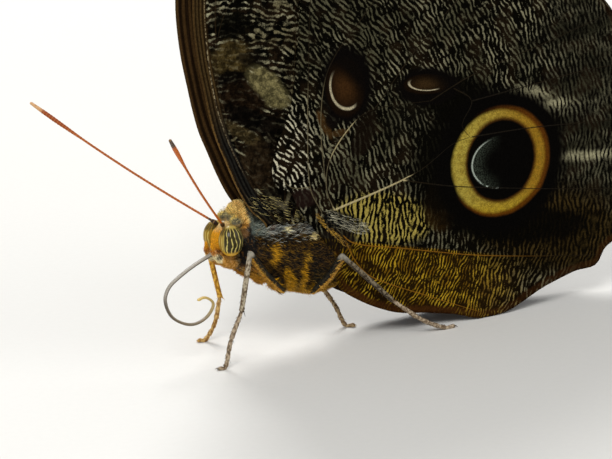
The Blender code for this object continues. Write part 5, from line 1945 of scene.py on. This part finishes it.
def make_leg_material(name, marks, painted_golden_light, dusk, contrast):
    """A dark thigh with painted golden light on its lower side, a mottled shin with a painted
    highlight on top and painted shade below, and a pale foot.
    """
    material, bench, surface = new_material(name)
    along = bench.attribute("along")
    place = bench.attribute("root", "Vector")
    facing = bench.parts(bench.node("NewGeometry").outputs["Normal"])["Z"]
    grain = bench.noise(place, 2.3, 3.0)
    patchy = bench.span(grain, 0.4, 0.6)
    golden = bench.mix(patchy, colour(160, 104, 12), colour(232, 184, 74))
    # Painted golden light, thrown up from below, on the downward-facing side of the thigh.
    below = bench.fall(bench.times_plus(grain, 0.5, facing), -0.34, -0.1)
    thigh = bench.mix(below, bench.mix(patchy, colour(8, 7, 4), colour(36, 32, 20)), golden)
    # The leg's share of painted golden light, over the thigh, the ankle and the foot.
    thigh = bench.mix(painted_golden_light * 0.8, thigh, golden)
    tan = bench.mix(dusk, colour(92, 74, 52), colour(28, 21, 12))
    buff = bench.mix(dusk, colour(170, 158, 134), colour(98, 84, 60))
    greyish = bench.mix(bench.span(grain, 0.42, 0.56), tan, buff)
    # Painted highlight on the upward-facing side of the shin and painted shade on its downward side.
    shin = bench.mix(bench.span(facing, 0.1, 0.7, 0.0, 0.4 - 0.35 * dusk), greyish, colour(170, 164, 142))
    shin = bench.mix(bench.span(facing, -0.15, -0.55, 0.0, 0.75), shin, colour(34, 25, 14))
    near_knee = bench.span(along, marks[2] + 2.0, marks[2] + 0.4, 0.0, 0.6)
    shin = bench.mix(near_knee, shin, colour(150, 146, 132))
    foot = bench.mix(patchy, colour(104, 84, 62), colour(176, 158, 132))
    shade = bench.mix(bench.span(along, marks[2] - 1.0, marks[2] - 0.2), thigh, shin)
    shade = bench.mix(bench.times(bench.span(along, marks[3] + 1.0, marks[3]), painted_golden_light), shade, golden)
    foot = bench.mix(painted_golden_light * 0.5, foot, golden)
    shade = bench.mix(bench.span(along, marks[3] - 0.5, marks[3] + 0.5), shade, foot)
    varied = bench.span(bench.attribute("tone"), 0.0, 1.0, 1.0 - contrast, 1.0 + contrast)
    scales = bench.node("TexVoronoi", {"Vector": place, "Scale": 5.5}).outputs["Distance"]
    dress(bench, surface, bench.scaled(shade, varied), 0.55, 0.14, (scales, 0.5, 0.08))
    return material


print("the legs' scales are ready")

# %% Grow the legs


def along_leg(path):
    """For roots near a path: the way the path runs there, and how far along it they lie."""
    places = np.array([tuple(place) for place in path])
    ways = np.diff(places, axis=0)
    lengths = np.concatenate([[0.0], np.cumsum(np.linalg.norm(ways, axis=1))])

    def find(roots):
        nearest = np.linalg.norm(roots[:, None] - places[None, :-1], axis=2).argmin(1)
        return unit(ways[nearest]), lengths[nearest]

    return find


GOLDEN_HAIR = make_plain_hair("golden_hair", colour(130, 84, 16), colour(236, 184, 74))
for seed, name in enumerate(LEGS):
    path, marks = leg_path(name)
    find = along_leg(path)
    skin = keep_roots(unwrapped(piped(name, [(path, leg_radius(marks))])))
    bm = bmesh.new()
    bm.from_mesh(skin)
    bm.from_mesh(piped(name + "_extras", leg_extras(path, marks), 5))
    for vert in bm.verts:
        vert.co.z = max(vert.co.z, FLOOR_GAP)
    whole = as_mesh(bm, name, outward=False)
    keep(whole, "tone", np.full(len(whole.vertices), 0.5))
    whole.materials.append(make_leg_material(name + "_scales", marks, *LEG_TINTS[name], 0.0))
    scaly = make_leg_material(name + "_hair", marks, *LEG_TINTS[name], 0.45)

    def everywhere(places, normals):
        return np.ones(len(places))

    def under_thigh(places, normals):
        along = find(places)[1]
        return (along > marks[1] + 1.4) * (along < marks[2] - 0.5) * np.clip(-normals[:, 2] - 0.1, 0.0, 1.0)

    def lie(roots, normal):
        return find(roots)[0]

    def hanging(roots, normal):
        return find(roots)[0] + np.array((0.0, 0.0, -0.8))

    for piece, weigh, way, count, length, width, lift, material in (
        ("_coat", everywhere, lie, 3000, 0.36, 0.1, 16.0, scaly),
        ("_fringe", under_thigh, hanging, 500, 0.75, 0.07, 36.0, GOLDEN_HAIR),
    ):
        tufts = grow_tufts(name + piece, skin, weigh, way, count, length, width, lift, 20 + seed)
        keep(tufts, "along", find(read(tufts.attributes["root"].data, "vector", 3)[::7])[1].repeat(7))
        tufts.materials.append(material)
        add_piece(name + piece, tufts, "leg_scales", smooth=False)
    solids = (f"{name}_{part}" for part in ("femur", "tibia", "tarsus"))
    add_piece("scaled_" + name, whole, "leg_scales", *solids)
print("four walking legs")
